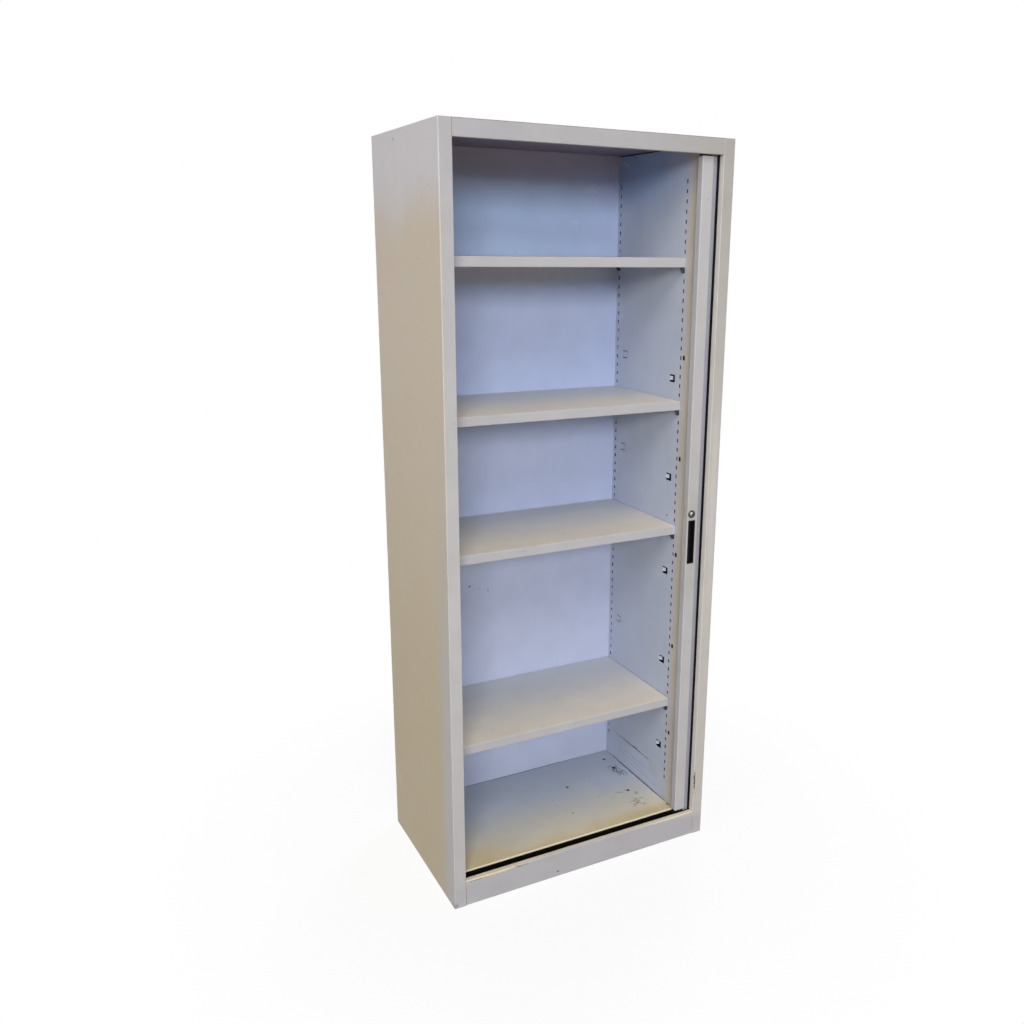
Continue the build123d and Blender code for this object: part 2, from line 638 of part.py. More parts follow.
def lock_plug():
    """Turning plug with the keyway, drilled at the back for the cam's screw."""
    front = LEAD_FACE - LOCK_COLLAR + PLUG_SETBACK
    plug = rod(LOCK_PLUG_RADIUS, LOCK_CENTRE, (front, CAM_FRONT), LOCK_HEIGHT)
    keyway = block((LOCK_CENTRE - KEYWAY_WIDTH / 2, LOCK_CENTRE + KEYWAY_WIDTH / 2),
                   (front, front + KEYWAY_DEPTH),
                   (LOCK_HEIGHT - KEYWAY_HEIGHT / 2, LOCK_HEIGHT + KEYWAY_HEIGHT / 2))
    drilled = rod(SCREW_RADIUS + SCREW_FIT, LOCK_CENTRE, (CAM_FRONT - SCREW_LENGTH, CAM_FRONT), LOCK_HEIGHT)
    return plug - keyway - drilled


def lock_cam():
    """Flat cam, standing up when unlocked, that swings out through the slit when locked."""
    cam = block((LOCK_CENTRE - CAM_WIDTH / 2, LOCK_CENTRE + CAM_WIDTH / 2), (CAM_FRONT, CAM_REAR),
                (LOCK_HEIGHT - CAM_TAIL, LOCK_HEIGHT + CAM_LENGTH))
    hole = rod(SCREW_RADIUS + SCREW_FIT, LOCK_CENTRE, (CAM_FRONT, CAM_REAR), LOCK_HEIGHT)
    return cam - hole


def cam_screw():
    """Screw that holds the cam on the plug."""
    shank = rod(SCREW_RADIUS, LOCK_CENTRE, (CAM_FRONT - SCREW_LENGTH + SCREW_TIP_GAP, CAM_REAR), LOCK_HEIGHT)
    return shank + rod(CAM_SCREW_RADIUS, LOCK_CENTRE, (CAM_REAR, CAM_REAR + CAM_SCREW_HEAD), LOCK_HEIGHT)


def strike_plate():
    """Plate behind the left stile's return, with the slot that takes the cam."""
    outer = -STILE_INNER - SHEET
    plate = block((outer - STRIKE_THICKNESS, outer), (STRIKE_FRONT, LINER_FRONT - STRIKE_REAR_GAP),
                  (LOCK_HEIGHT - STRIKE_BELOW, LOCK_HEIGHT + STRIKE_ABOVE))
    slot = block((outer - STRIKE_THICKNESS, outer), (CAM_FRONT - STRIKE_SLACK, CAM_REAR + STRIKE_SLACK),
                 (LOCK_HEIGHT - CAM_WIDTH / 2 - STRIKE_SLACK, LOCK_HEIGHT + CAM_LENGTH + STRIKE_SLACK))
    return plate - slot - [rivet_hole(z) for z in rivet_heights()]


def rivet_heights():
    return [LOCK_HEIGHT - STRIKE_BELOW + RIVET_INSET, LOCK_HEIGHT + STRIKE_ABOVE - RIVET_INSET]


def rivet_bar(radius, x, z):
    bar = Cylinder(radius, x[1] - x[0], rotation=(0, 90, 0))
    return Pos((x[0] + x[1]) / 2, RIVET_DEPTH, z) * bar


def rivet_hole(z):
    return rivet_bar(RIVET_RADIUS + RIVET_FIT, (-STILE_INNER - SHEET - STRIKE_THICKNESS, -STILE_INNER), z)


def strike_rivets():
    """Rivets through the strike plate and the stile's return."""
    inner = -STILE_INNER
    outer = -STILE_INNER - SHEET - STRIKE_THICKNESS
    rivets = []
    for z in rivet_heights():
        rivet = rivet_bar(RIVET_RADIUS, (outer, inner), z)
        rivet += rivet_bar(RIVET_HEAD_RADIUS, (inner, inner + RIVET_HEAD), z)
        rivet += rivet_bar(RIVET_HEAD_RADIUS, (outer - RIVET_HEAD, outer), z)
        rivets.append(rivet)
    return Compound(rivets)


# ---------------------------------------------------------------- feet
def foot_rail():
    """Right rail under the floor, with a hole for the stem of each foot."""
    half = FOOT_RAIL_WIDTH / 2
    z = (FOOT_RAIL_BOTTOM, FLOOR_TOP - SHEET)
    y = (TRACK_REAR + FOOT_RAIL_FRONT_GAP, REAR_RUN_FRONT - FOOT_RAIL_REAR_GAP)
    rail = block((FOOT_X - half, FOOT_X + half), y, z)
    rail -= block((FOOT_X - half + FOOT_RAIL_SHEET, FOOT_X + half - FOOT_RAIL_SHEET), y,
                  (z[0] + FOOT_RAIL_SHEET, z[1]))
    holes = [pillar(STEM_RADIUS + STEM_FIT, FOOT_X, y, (z[0] - FOOT_RAIL_SHEET, z[0] + 2 * FOOT_RAIL_SHEET))
             for y in (FOOT_FRONT, FOOT_REAR)]
    return rail - holes


def foot(x, y):
    """Levelling foot, wound up clear of the floor: round pad and threaded stem as one bar."""
    pad = pillar(FOOT_RADIUS, x, y, (FOOT_LIFT, FOOT_LIFT + FOOT_PAD))
    return pad + pillar(STEM_RADIUS, x, y, (FOOT_LIFT + FOOT_PAD, STEM_TOP))


# ---------------------------------------------------------------- all pieces
def all_pieces():
    """Every node's name with its shape."""
    liner = side_liner()
    rail = foot_rail()
    left_post_end = 2 * INNER_MIDDLE + SIDE_INNER - POST_SIDE_GAP
    pieces = {
        "side_panel_left": left_side_panel(),
        "side_panel_right": side_panel(),
        "top_panel": top_panel(),
        "top_rail": front_channel((RAIL_BOTTOM, BODY_TOP), RAIL_EDGE_RADIUS),
        "plinth_front": front_channel((0, PLINTH_HEIGHT), PLINTH_EDGE_RADIUS),
        "back_panel": back_panel(),
        "floor_panel": floor_panel(),
        "ceiling_panel": ceiling_panel(),
        "inner_back_panel": inner_back_panel(),
        "side_liner_left": mirrored(liner, INNER_MIDDLE),
        "side_liner_right": liner,
        "liner_post_left": mirrored(liner_post(left_post_end), INNER_MIDDLE),
        "liner_post_right": liner_post(TRACK_INNER_SIDE - POST_TRACK_GAP),
        "shelf_clips": shelf_clips(),
        "track_lower": lower_track(),
        "track_upper": upper_track(),
        "curtain_seal_strip": seal_strip(),
        "strike_plate": strike_plate(),
        "strike_rivets": strike_rivets(),
        "foot_rail_left": mirrored(rail),
        "foot_rail_right": rail,
        "lead_stile": lead_stile(),
        "lead_step": lead_step(),
        "guide_shoes": guide_shoes(),
        "pull_cup": pull_cup(),
        "lock_barrel": lock_barrel(),
        "lock_nut": lock_nut(),
        "lock_plug": lock_plug(),
        "lock_cam": lock_cam(),
        "cam_screw": cam_screw(),
    }
    for place, index in enumerate(SHELF_SLOTS, start=1):
        pieces[f"shelf_{place}"] = shelf(slot_height(index) + CLIP_RISE)
    for side, x in (("left", -FOOT_X), ("right", FOOT_X)):
        for end, y in (("front", FOOT_FRONT), ("rear", FOOT_REAR)):
            pieces[f"foot_{end}_{side}"] = foot(x, y)
    for number in range(1, SLAT_COUNT + 1):
        pieces[f"slat_{number:02d}"] = slat(number)
    return pieces


os.makedirs("parts", exist_ok=True)
for node, shape in all_pieces().items():
    write(node, shape)
print(f"{SLAT_COUNT} slats, door travel {DOOR_TRAVEL:.1f} mm")
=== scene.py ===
# %% [markdown]
# # A steel cupboard with a roll front
# The cupboard is folded steel sheet in stove enamel. The construction comes in as a finished frame,
# so this file only dresses it: it gives every surface its paint, plating, rubber or plastic, softens
# the edges of the small parts, and lights it like a plain product picture. It adds no shape of its own.

# %% Load the frame
import bpy
import json
import math
from mathutils import Matrix, Vector


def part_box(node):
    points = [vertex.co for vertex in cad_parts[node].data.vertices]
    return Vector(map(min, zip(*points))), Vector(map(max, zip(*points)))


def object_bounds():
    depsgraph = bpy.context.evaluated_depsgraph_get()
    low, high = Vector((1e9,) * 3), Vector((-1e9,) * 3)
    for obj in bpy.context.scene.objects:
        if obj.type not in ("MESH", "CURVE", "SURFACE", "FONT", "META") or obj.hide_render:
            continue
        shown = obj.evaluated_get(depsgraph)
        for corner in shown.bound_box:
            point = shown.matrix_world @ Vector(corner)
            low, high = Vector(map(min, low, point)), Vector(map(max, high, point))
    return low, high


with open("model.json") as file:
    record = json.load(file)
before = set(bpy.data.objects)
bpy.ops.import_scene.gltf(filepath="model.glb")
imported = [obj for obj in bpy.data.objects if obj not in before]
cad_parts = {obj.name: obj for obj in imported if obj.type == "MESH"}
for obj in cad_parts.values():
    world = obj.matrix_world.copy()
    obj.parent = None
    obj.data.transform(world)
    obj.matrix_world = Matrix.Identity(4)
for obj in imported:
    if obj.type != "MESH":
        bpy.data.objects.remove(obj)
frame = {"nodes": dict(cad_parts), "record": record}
nodes = frame["nodes"]
cad_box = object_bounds()
print("frame box in metres:", cad_box)

# %% [markdown]
# ## Sizes worked out from the frame
# Marks and stains are placed from the pieces they lie on. Each place is written in millimetres: x from
# the middle, depth back from the front face, height above the floor. One function turns it to metres.

# %% Measure the frame
MM = 0.001
LINER_SHEET_MM = 0.8
front_y = cad_box[0][1]
half_width = cad_box[1][0]
height = cad_box[1][2]
liner_low, liner_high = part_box("side_liner_right")
floor_top = liner_low[2]
liner_face = liner_high[0] - LINER_SHEET_MM * MM
left_liner_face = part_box("side_liner_left")[0][0] + LINER_SHEET_MM * MM


def place(x, depth, z):
    """A point given in millimetres as x, depth behind the front face, and height."""
    return Vector((x * MM, front_y + depth * MM, z * MM))


print("width", 2 * half_width, "height", height, "floor at", floor_top)

# %% [markdown]
# ## Camera
# A standing person looks down a little at the cupboard from its left. The lens and the small sideways
# shift set the framing on a square picture; the camera's axes are written as three directions.

# %% Set the camera
FRAME_PIXELS = 1024
FOCAL_PIXELS = 971.267
SENSOR_MM = 36.0
CENTRE_PIXELS = (566.944, 509.866)
EYE = Vector((-1.2066, -2.3359, 1.6985))
RIGHT = Vector((0.88139, -0.47232, 0.01026))
UP = Vector((0.11233, 0.23061, 0.96654))

camera_data = bpy.data.cameras.new("camera")
camera_data.sensor_width = SENSOR_MM
camera_data.lens = FOCAL_PIXELS / FRAME_PIXELS * SENSOR_MM
camera_data.shift_x = (FRAME_PIXELS / 2 - CENTRE_PIXELS[0]) / FRAME_PIXELS
camera_data.shift_y = (CENTRE_PIXELS[1] - FRAME_PIXELS / 2) / FRAME_PIXELS
camera = bpy.data.objects.new("camera", camera_data)
bpy.context.collection.objects.link(camera)
back = RIGHT.cross(UP)
camera.matrix_world = Matrix.Translation(EYE) @ Matrix((RIGHT, UP, back)).transposed().to_4x4()
bpy.context.scene.camera = camera
print("lens", round(camera_data.lens, 2), "mm")
print("shift", round(camera_data.shift_x, 4), round(camera_data.shift_y, 4))

# %% [markdown]
# ## Two helpers for materials
# Colours are written the way a paint chart gives them, as sRGB hex, and turned to the linear values
# that the renderer works in. Every material is a small graph, and one function adds a node to it.

# %% Colour and node helpers
def linear(hex_colour):
    """An sRGB hex colour as opaque linear RGBA."""
    channels = [int(hex_colour[i:i + 2], 16) / 255 for i in (0, 2, 4)]
    return [c / 12.92 if c <= 0.04045 else ((c + 0.055) / 1.055) ** 2.4 for c in channels] + [1.0]


def add(tree, kind, settings, links=()):
    """Add one node. settings fills sockets or properties, links joins sockets to earlier outputs."""
    node = tree.nodes.new("ShaderNode" + kind)
    for name, value in settings.items():
        if isinstance(name, int) or name in node.inputs:
            node.inputs[name].default_value = value
        else:
            setattr(node, name, value)
    for name, source in dict(links).items():
        tree.links.new(source, node.inputs[name])
    return node


def new_material(name):
    """An empty material with its tree, its output and the position on the piece in metres."""
    material = bpy.data.materials.new(name)
    material.use_nodes = True
    tree = material.node_tree
    tree.nodes.clear()
    output = add(tree, "OutputMaterial", {})
    where = add(tree, "TexCoord", {})
    return material, tree, output, where


print("0.5 grey is", [round(c, 3) for c in linear("808080")[:3]], "linear")

# %% [markdown]
# ## Marks: soft patches with ragged edges
# Age shows as patches: yellowing where the sun reached, dirt where things stood, a chip where a trolley
# hit. Some patches are painted light and shade instead: a lighter or darker area, or a shadow under a rail
# or a shelf. A patch is a soft ellipsoid, and noise added to its distance makes the edge ragged. A long
# thin one, turned a little, is a scratch. The same few nodes serve them all, so one function returns a
# mask.

# %% Patches and tints
RAGGED_SWAY = 4.0
FLECK_LEVEL = (0.50, 0.58)


def patch(tree, where, centre, radii, ragged=0.35, grain_mm=12.0, soft=0.5, turn=0.0, fleck_mm=0.0):
    """Mask that is 1 inside an ellipsoid and fades over its edge, or breaks up into flecks.

    The turn is in degrees about X.
    """
    offset = add(tree, "VectorMath", {"operation": "SUBTRACT", 1: place(*centre)},
                 {0: where.outputs["Object"]})
    turned = add(tree, "VectorRotate", {"rotation_type": "X_AXIS", "Angle": math.radians(-turn)},
                 {"Vector": offset.outputs[0]})
    scaled = add(tree, "VectorMath", {"operation": "DIVIDE", 1: [r * MM for r in radii]},
                 {0: turned.outputs[0]})
    distance = add(tree, "VectorMath", {"operation": "LENGTH"}, {0: scaled.outputs[0]})
    grain = add(tree, "TexNoise", {"Scale": 1 / (grain_mm * MM), "Detail": 4.0},
                {"Vector": where.outputs["Object"]})
    rough = add(tree, "Math", {"operation": "MULTIPLY_ADD", 1: RAGGED_SWAY * ragged,
                               2: -RAGGED_SWAY * ragged / 2}, {0: grain.outputs["Fac"]})
    edge = add(tree, "Math", {"operation": "ADD"}, {0: distance.outputs["Value"], 1: rough.outputs[0]})
    mask = add(tree, "MapRange", {"interpolation_type": "SMOOTHSTEP", "From Min": 1.0,
                                  "From Max": 1.0 - soft, "To Min": 0.0, "To Max": 1.0},
               {"Value": edge.outputs[0]})
    if not fleck_mm:
        return mask.outputs["Result"]
    dust = add(tree, "TexNoise", {"Scale": 1 / (fleck_mm * MM), "Detail": 2.0},
               {"Vector": where.outputs["Object"]})
    flecks = add(tree, "MapRange", {"From Min": FLECK_LEVEL[0], "From Max": FLECK_LEVEL[1]},
                 {"Value": dust.outputs["Fac"]})
    broken = add(tree, "Math", {"operation": "MULTIPLY"},
                 {0: mask.outputs["Result"], 1: flecks.outputs["Result"]})
    return broken.outputs[0]


def tint(tree, base, mask, colour, amount=1.0):
    """Blend a colour over the base where the mask is set."""
    share = add(tree, "Math", {"operation": "MULTIPLY", 1: amount}, {0: mask})
    blend = add(tree, "Mix", {"data_type": "RGBA", 7: linear(colour)}, {0: share.outputs[0], 6: base})
    return blend.outputs[2]


def marked(tree, where, base, marks):
    """Lay a list of marks over a colour: place, radii, colour, amount and how the edge runs."""
    for centre, radii, colour, amount, shape in marks:
        base = tint(tree, base, patch(tree, where, centre, radii, **shape), colour, amount)
    return base


print("flecks show where the noise is above", FLECK_LEVEL[0])

# %% [markdown]
# ## Stove enamel
# The sheet is painted with a stove enamel: a hard baked paint with a satin sheen and a fine orange-peel
# surface. Real orange peel is about 2 mm across, finer than the picture can show, so it is drawn at 6 mm.
# Thin sheet also waves a little between its folds, which shows as slow changes in the sheen. Handling rubs
# the paint thin on the edges, and their rounding catches the light, so they are painted a little creamy and
# light: partly wear, partly painted highlight; a bevel node finds them. Age has chalked the gloss, so the
# specular level is below the usual half.

# %% [markdown]
# ## Faces inside the walls
# The faces that are shut in behind the liners are painted near black, which is painted shade for the dark
# inside of the hollow walls and is what makes the shelf slots read black. The tabs that are bent into the
# wall show through their own windows, so they keep the paint.

# %% Faces inside the walls
WALL_START_MM = 44.0
TAB_REACH_MM = 6.2
FACE_MM = 0.4
SKIN_MM = 0.5
INWARD = -0.1
# Painted shade for the faces inside the hollow walls.
CAVITY_SHADE = "2B2A2B"


def shut_in(tree, where):
    """1 on faces inside the hollow walls, except the bent tabs, which show through their windows."""
    spot = add(tree, "SeparateXYZ", {}, {0: where.outputs["Object"]})
    facing = add(tree, "SeparateXYZ", {}, {0: where.outputs["Normal"]})
    behind = add(tree, "Math", {"operation": "GREATER_THAN", 1: front_y + WALL_START_MM * MM},
                 {0: spot.outputs["Y"]})
    right = add(tree, "Math", {"operation": "SUBTRACT", 1: liner_face}, {0: spot.outputs["X"]})
    left = add(tree, "Math", {"operation": "SUBTRACT", 0: left_liner_face}, {1: spot.outputs["X"]})
    beyond = add(tree, "Math", {"operation": "MAXIMUM"}, {0: right.outputs[0], 1: left.outputs[0]})
    wall = add(tree, "Math", {"operation": "GREATER_THAN", 1: FACE_MM * MM}, {0: beyond.outputs[0]})
    near = add(tree, "Math", {"operation": "LESS_THAN", 1: TAB_REACH_MM * MM}, {0: beyond.outputs[0]})
    turned = add(tree, "Math", {"operation": "MULTIPLY"}, {0: spot.outputs["X"], 1: facing.outputs["X"]})
    inward = add(tree, "Math", {"operation": "LESS_THAN", 1: INWARD}, {0: turned.outputs[0]})
    tab = add(tree, "Math", {"operation": "MULTIPLY"}, {0: near.outputs[0], 1: inward.outputs[0]})
    walls = add(tree, "Math", {"operation": "SUBTRACT", "use_clamp": True},
                {0: wall.outputs[0], 1: tab.outputs[0]})
    outer = add(tree, "Math", {"operation": "ABSOLUTE"}, {0: spot.outputs["X"]})
    skin = add(tree, "Math", {"operation": "GREATER_THAN", 1: half_width - SKIN_MM * MM},
               {0: outer.outputs[0]})
    rear = add(tree, "Math", {"operation": "GREATER_THAN", 1: -front_y - SKIN_MM * MM},
               {0: spot.outputs["Y"]})
    outside = add(tree, "Math", {"operation": "MAXIMUM"}, {0: skin.outputs[0], 1: rear.outputs[0]})
    high = add(tree, "Math", {"operation": "GREATER_THAN", 1: height - SKIN_MM * MM},
               {0: spot.outputs["Z"]})
    outside = add(tree, "Math", {"operation": "MAXIMUM"}, {0: outside.outputs[0], 1: high.outputs[0]})
    inside = add(tree, "Math", {"operation": "SUBTRACT", 0: 1.0}, {1: outside.outputs[0]})
    zone = add(tree, "Math", {"operation": "MULTIPLY"}, {0: walls.outputs[0], 1: behind.outputs[0]})
    shut = add(tree, "Math", {"operation": "MULTIPLY"}, {0: zone.outputs[0], 1: inside.outputs[0]})
    return shut.outputs[0]


print("primer behind", round(liner_face, 4), "and", round(left_liner_face, 4), "metres")

# %% [markdown]
# ## One recipe for every painted sheet
# The recipe takes the colour from a function, because each sheet has aged and is painted with light and
# shade in its own way, and adds what they share: mottling, specks of dirt, rubbed edges with a painted
# highlight, waves, orange peel and the painted shade inside the walls.

# %% Enamel recipe
ORANGE_PEEL_MM = 6.0
SHEET_WAVE_MM = 260.0
MOTTLE_MM = 70.0
SPECK_MM = 9.0
NOISE_LOW, NOISE_HIGH = 0.3, 0.7
EDGE_MM = 1.5
EDGE_SAMPLES = 4
EDGE_MATCH = (0.99, 0.80)
RUBBED_LEVEL = (0.35, 0.60)
RUBBED_LEAST = 0.3
SPECK_LEVEL = (0.70, 0.80)
PEEL_DEPTH_MM = 0.6
PEEL_STRENGTH = 0.10
WAVE_DEPTH_MM = 4.0
WAVE_STRENGTH = 0.25
ENAMEL_IOR = 1.5
ENAMEL_GLOSS = 0.3
SHEEN_RANGE = (0.42, 0.56)
MOTTLE_RANGE = (0.965, 1.03)
# The edge colour is partly rubbed paint and partly a painted highlight.
EDGE_CREAM_HIGHLIGHT = "E4DED3"


def enamel(name, colour_of, specks=0.3, edge_wear_and_highlight=0.45, relief=None):
    """Baked enamel; colour_of builds the colour from the tree and the position."""
    material, tree, output, where = new_material(name)
    at = {"Vector": where.outputs["Object"]}
    mottle = add(tree, "TexNoise", {"Scale": 1 / (MOTTLE_MM * MM), "Detail": 3.0}, at)
    speck = add(tree, "TexNoise", {"Scale": 1 / (SPECK_MM * MM), "Detail": 2.0}, at)
    skin = add(tree, "TexNoise", {"Scale": 1 / (ORANGE_PEEL_MM * MM), "Detail": 1.0}, at)
    wave = add(tree, "TexNoise", {"Scale": 1 / (SHEET_WAVE_MM * MM), "Detail": 1.0}, at)
    rounded = add(tree, "Bevel", {"samples": EDGE_SAMPLES, "Radius": EDGE_MM * MM})
    flat = add(tree, "NewGeometry", {})
    match = add(tree, "VectorMath", {"operation": "DOT_PRODUCT"},
                {0: rounded.outputs[0], 1: flat.outputs["Normal"]})
    edge = add(tree, "MapRange", {"From Min": EDGE_MATCH[0], "From Max": EDGE_MATCH[1]},
               {"Value": match.outputs["Value"]})
    rubbed = add(tree, "MapRange", {"From Min": RUBBED_LEVEL[0], "From Max": RUBBED_LEVEL[1],
                                    "To Min": RUBBED_LEAST}, {"Value": mottle.outputs["Fac"]})
    rubbed_and_lit_edge = add(tree, "Math", {"operation": "MULTIPLY"}, {0: edge.outputs[0], 1: rubbed.outputs[0]})
    colour = tint(tree, colour_of(tree, where), rubbed_and_lit_edge.outputs[0], EDGE_CREAM_HIGHLIGHT, edge_wear_and_highlight)
    shade = add(tree, "MapRange", {"From Min": NOISE_LOW, "From Max": NOISE_HIGH, "To Min": MOTTLE_RANGE[0],
                                   "To Max": MOTTLE_RANGE[1]}, {"Value": mottle.outputs["Fac"]})
    dirt = add(tree, "MapRange", {"From Min": SPECK_LEVEL[0], "From Max": SPECK_LEVEL[1], "To Min": 1.0,
                                  "To Max": 1.0 - specks}, {"Value": speck.outputs["Fac"]})
    level = add(tree, "Math", {"operation": "MULTIPLY"}, {0: shade.outputs[0], 1: dirt.outputs[0]})
    paint = add(tree, "VectorMath", {"operation": "SCALE"}, {0: colour, 3: level.outputs[0]})
    sheen = add(tree, "MapRange", {"From Min": NOISE_LOW, "From Max": NOISE_HIGH, "To Min": SHEEN_RANGE[0],
                                   "To Max": SHEEN_RANGE[1]}, {"Value": mottle.outputs["Fac"]})
    waved = add(tree, "Bump", {"Strength": WAVE_STRENGTH, "Distance": WAVE_DEPTH_MM * MM},
                {"Height": wave.outputs["Fac"], "Normal": rounded.outputs[0]})
    peeled = add(tree, "Bump", {"Strength": PEEL_STRENGTH, "Distance": PEEL_DEPTH_MM * MM},
                 {"Height": skin.outputs["Fac"], "Normal": waved.outputs[0]})
    normal = relief(tree, where, peeled.outputs[0]) if relief else peeled.outputs[0]
    # The faces inside the walls get the painted shade.
    cavity_shaded = tint(tree, paint.outputs[0], shut_in(tree, where), CAVITY_SHADE)
    shader = add(tree, "BsdfPrincipled", {"IOR": ENAMEL_IOR, "Specular IOR Level": ENAMEL_GLOSS},
                 {"Base Color": cavity_shaded, "Roughness": sheen.outputs[0], "Normal": normal})
    tree.links.new(shader.outputs[0], output.inputs["Surface"])
    print(name, "uses", len(tree.nodes), "nodes")
    return material


print("orange peel", ORANGE_PEEL_MM, "mm, mottling", MOTTLE_MM, "mm")

# %% [markdown]
# ## Carcass colours and marks
# Outside, the light grey is painted with light: the sides go yellow-brown towards the floor, which is
# painted warm light reflected from the floor, and lighter and cooler at their top, which is a painted
# sheen, while the front is a cooler grey, warmer towards the right and painted darker towards the top as
# painted shade. Chips, a scratch and the rusty line in the seams are marks. A broad mark is a change of
# tone too slow to have an edge; on the front the broad marks are painted light and shade.

# %% Carcass colours and marks
BROAD = {"ragged": 0.1, "grain_mm": 60.0, "soft": 0.9}
# The front's top colours are painted darker than its low ones, as painted shade.
FRONT_GREY_TOP_SHADE = "A7A7AD"
FRONT_GREY_LOW = "B2B2B6"
FRONT_WARM_TOP_SHADE = "A4A2A0"
FRONT_WARM_LOW = "B9B6B5"
# Faces folded in sideways from the front get a lighter grey, a painted highlight.
REVEAL_HIGHLIGHT_GREY = "D3D1CE"
# The sides' top colour is a painted sheen and their low colour painted warm light from the floor.
SIDE_TOP_SHEEN = "C8C7CE"
SIDE_MIDDLE = "C3B9AA"
SIDE_LOW_FLOOR_LIGHT = "B7AB92"
TOP_DUST = "B9B3A8"
# The plinth's upward faces are creamy from wear and lighter as a painted highlight.
PLINTH_CREAM_HIGHLIGHT = "E6DAC4"
CARCASS_MARKS_AND_LIGHT = [
    ((0, 0, 34), (520, 8, 52), "AAABB2", 1.0, {"ragged": 0.02, "grain_mm": 30.0, "soft": 0.25}),
    # Painted light: a lighter band down the middle of the right stile.
    ((383, 0, 1050), (18, 6, 330), "C1BFC1", 0.8, BROAD),
    # Painted shade: a darker top left on the rail.
    ((-300, 0, 1950), (150, 8, 60), "A1A2A8", 0.7, BROAD),
    ((369.0, 0, 177), (3.0, 6, 46), "38322B", 0.95, {"grain_mm": 4.0, "ragged": 0.5}),
    ((-366.6, 0, 36), (1.6, 6, 44), "93805F", 0.75, {"grain_mm": 8.0}),
    ((366.6, 0, 36), (1.3, 6, 44), "8F8674", 0.6, {"grain_mm": 8.0}),
    ((366.6, 0, 1962), (1.2, 6, 22), "9A948C", 0.5, {"grain_mm": 8.0}),
    ((-366.6, 0, 1962), (1.2, 6, 22), "9A948C", 0.4, {"grain_mm": 8.0}),
    ((-366, 0, 78), (3.0, 8, 3.0), "26221F", 0.9, {"ragged": 0.2}),
    ((-90, 0, 16), (5.0, 8, 3.5), "55504A", 0.8, {"grain_mm": 5.0}),
    ((150, 0, 5), (6.0, 8, 4.0), "A79F8C", 0.5, {"grain_mm": 5.0}),
    ((-217, 0, 73), (9.0, 8, 3.0), "837352", 0.7, {"grain_mm": 4.0}),
    ((-280, 0, 73), (80.0, 8, 4.0), "DCC9A2", 0.8, {"ragged": 0.5, "grain_mm": 9.0}),
    ((-330, 0, 70), (26.0, 8, 1.6), "5E4E3A", 0.7, {"ragged": 0.6, "grain_mm": 7.0}),
    ((-205, 0, 71), (30.0, 8, 1.6), "5E4E3A", 0.6, {"ragged": 0.7, "grain_mm": 7.0}),
    ((288, 0, 72), (72.0, 8, 2.6), "D9CDB4", 0.6, {"ragged": 0.5, "grain_mm": 7.0}),
    ((120, 0, 44), (16.0, 8, 12.0), "A99A9E", 0.3, {"ragged": 0.6, "grain_mm": 14.0, "soft": 0.9}),
    ((398, 4, 1893), (5.0, 7, 9.0), "9C7A4C", 0.5, {"grain_mm": 4.0}),
    ((-396, 4, 8), (8.0, 12, 9.0), "6F675C", 0.5, {"grain_mm": 6.0}),
]
print(len(CARCASS_MARKS_AND_LIGHT), "marks on the carcass")

# %% [markdown]
# ## Carcass enamel
# The facing of the surface and its place decide how much of each colour shows. Heights are shares of the
# cupboard's height, moved a little by a cloud so that the change isn't level. Faces folded in sideways from
# the front are painted lighter, a painted highlight. The roof has dust on it, and the plinth's rounded top
# edge, which every load is dragged over, is rubbed creamy and painted lighter where it faces up: partly
# wear, partly painted highlight.

# %% Carcass enamel
CLOUD_MM = 350.0
CLOUD_SWAY = 0.24
SIDE_SKIN_MM = 3.0
SIDE_FLOOR_LIGHT_FROM, SIDE_FLOOR_LIGHT_TO = 0.80, 0.15
SIDE_SHEEN_FROM, SIDE_SHEEN_TO = 0.86, 0.95
FRONT_TOP_SHADE_TO = 0.45
NEAR_FRONT_FROM_MM, NEAR_FRONT_TO_MM = 100.0, 20.0
WARM_START_MM = 100.0
LOW_LEDGE_MM = 500.0
UPWARD = (0.25, 0.8)
REVEAL_HIGHLIGHT_SHARE = 0.8
DUST_SHARE = 0.6
CREAM_HIGHLIGHT_SHARE = 0.85


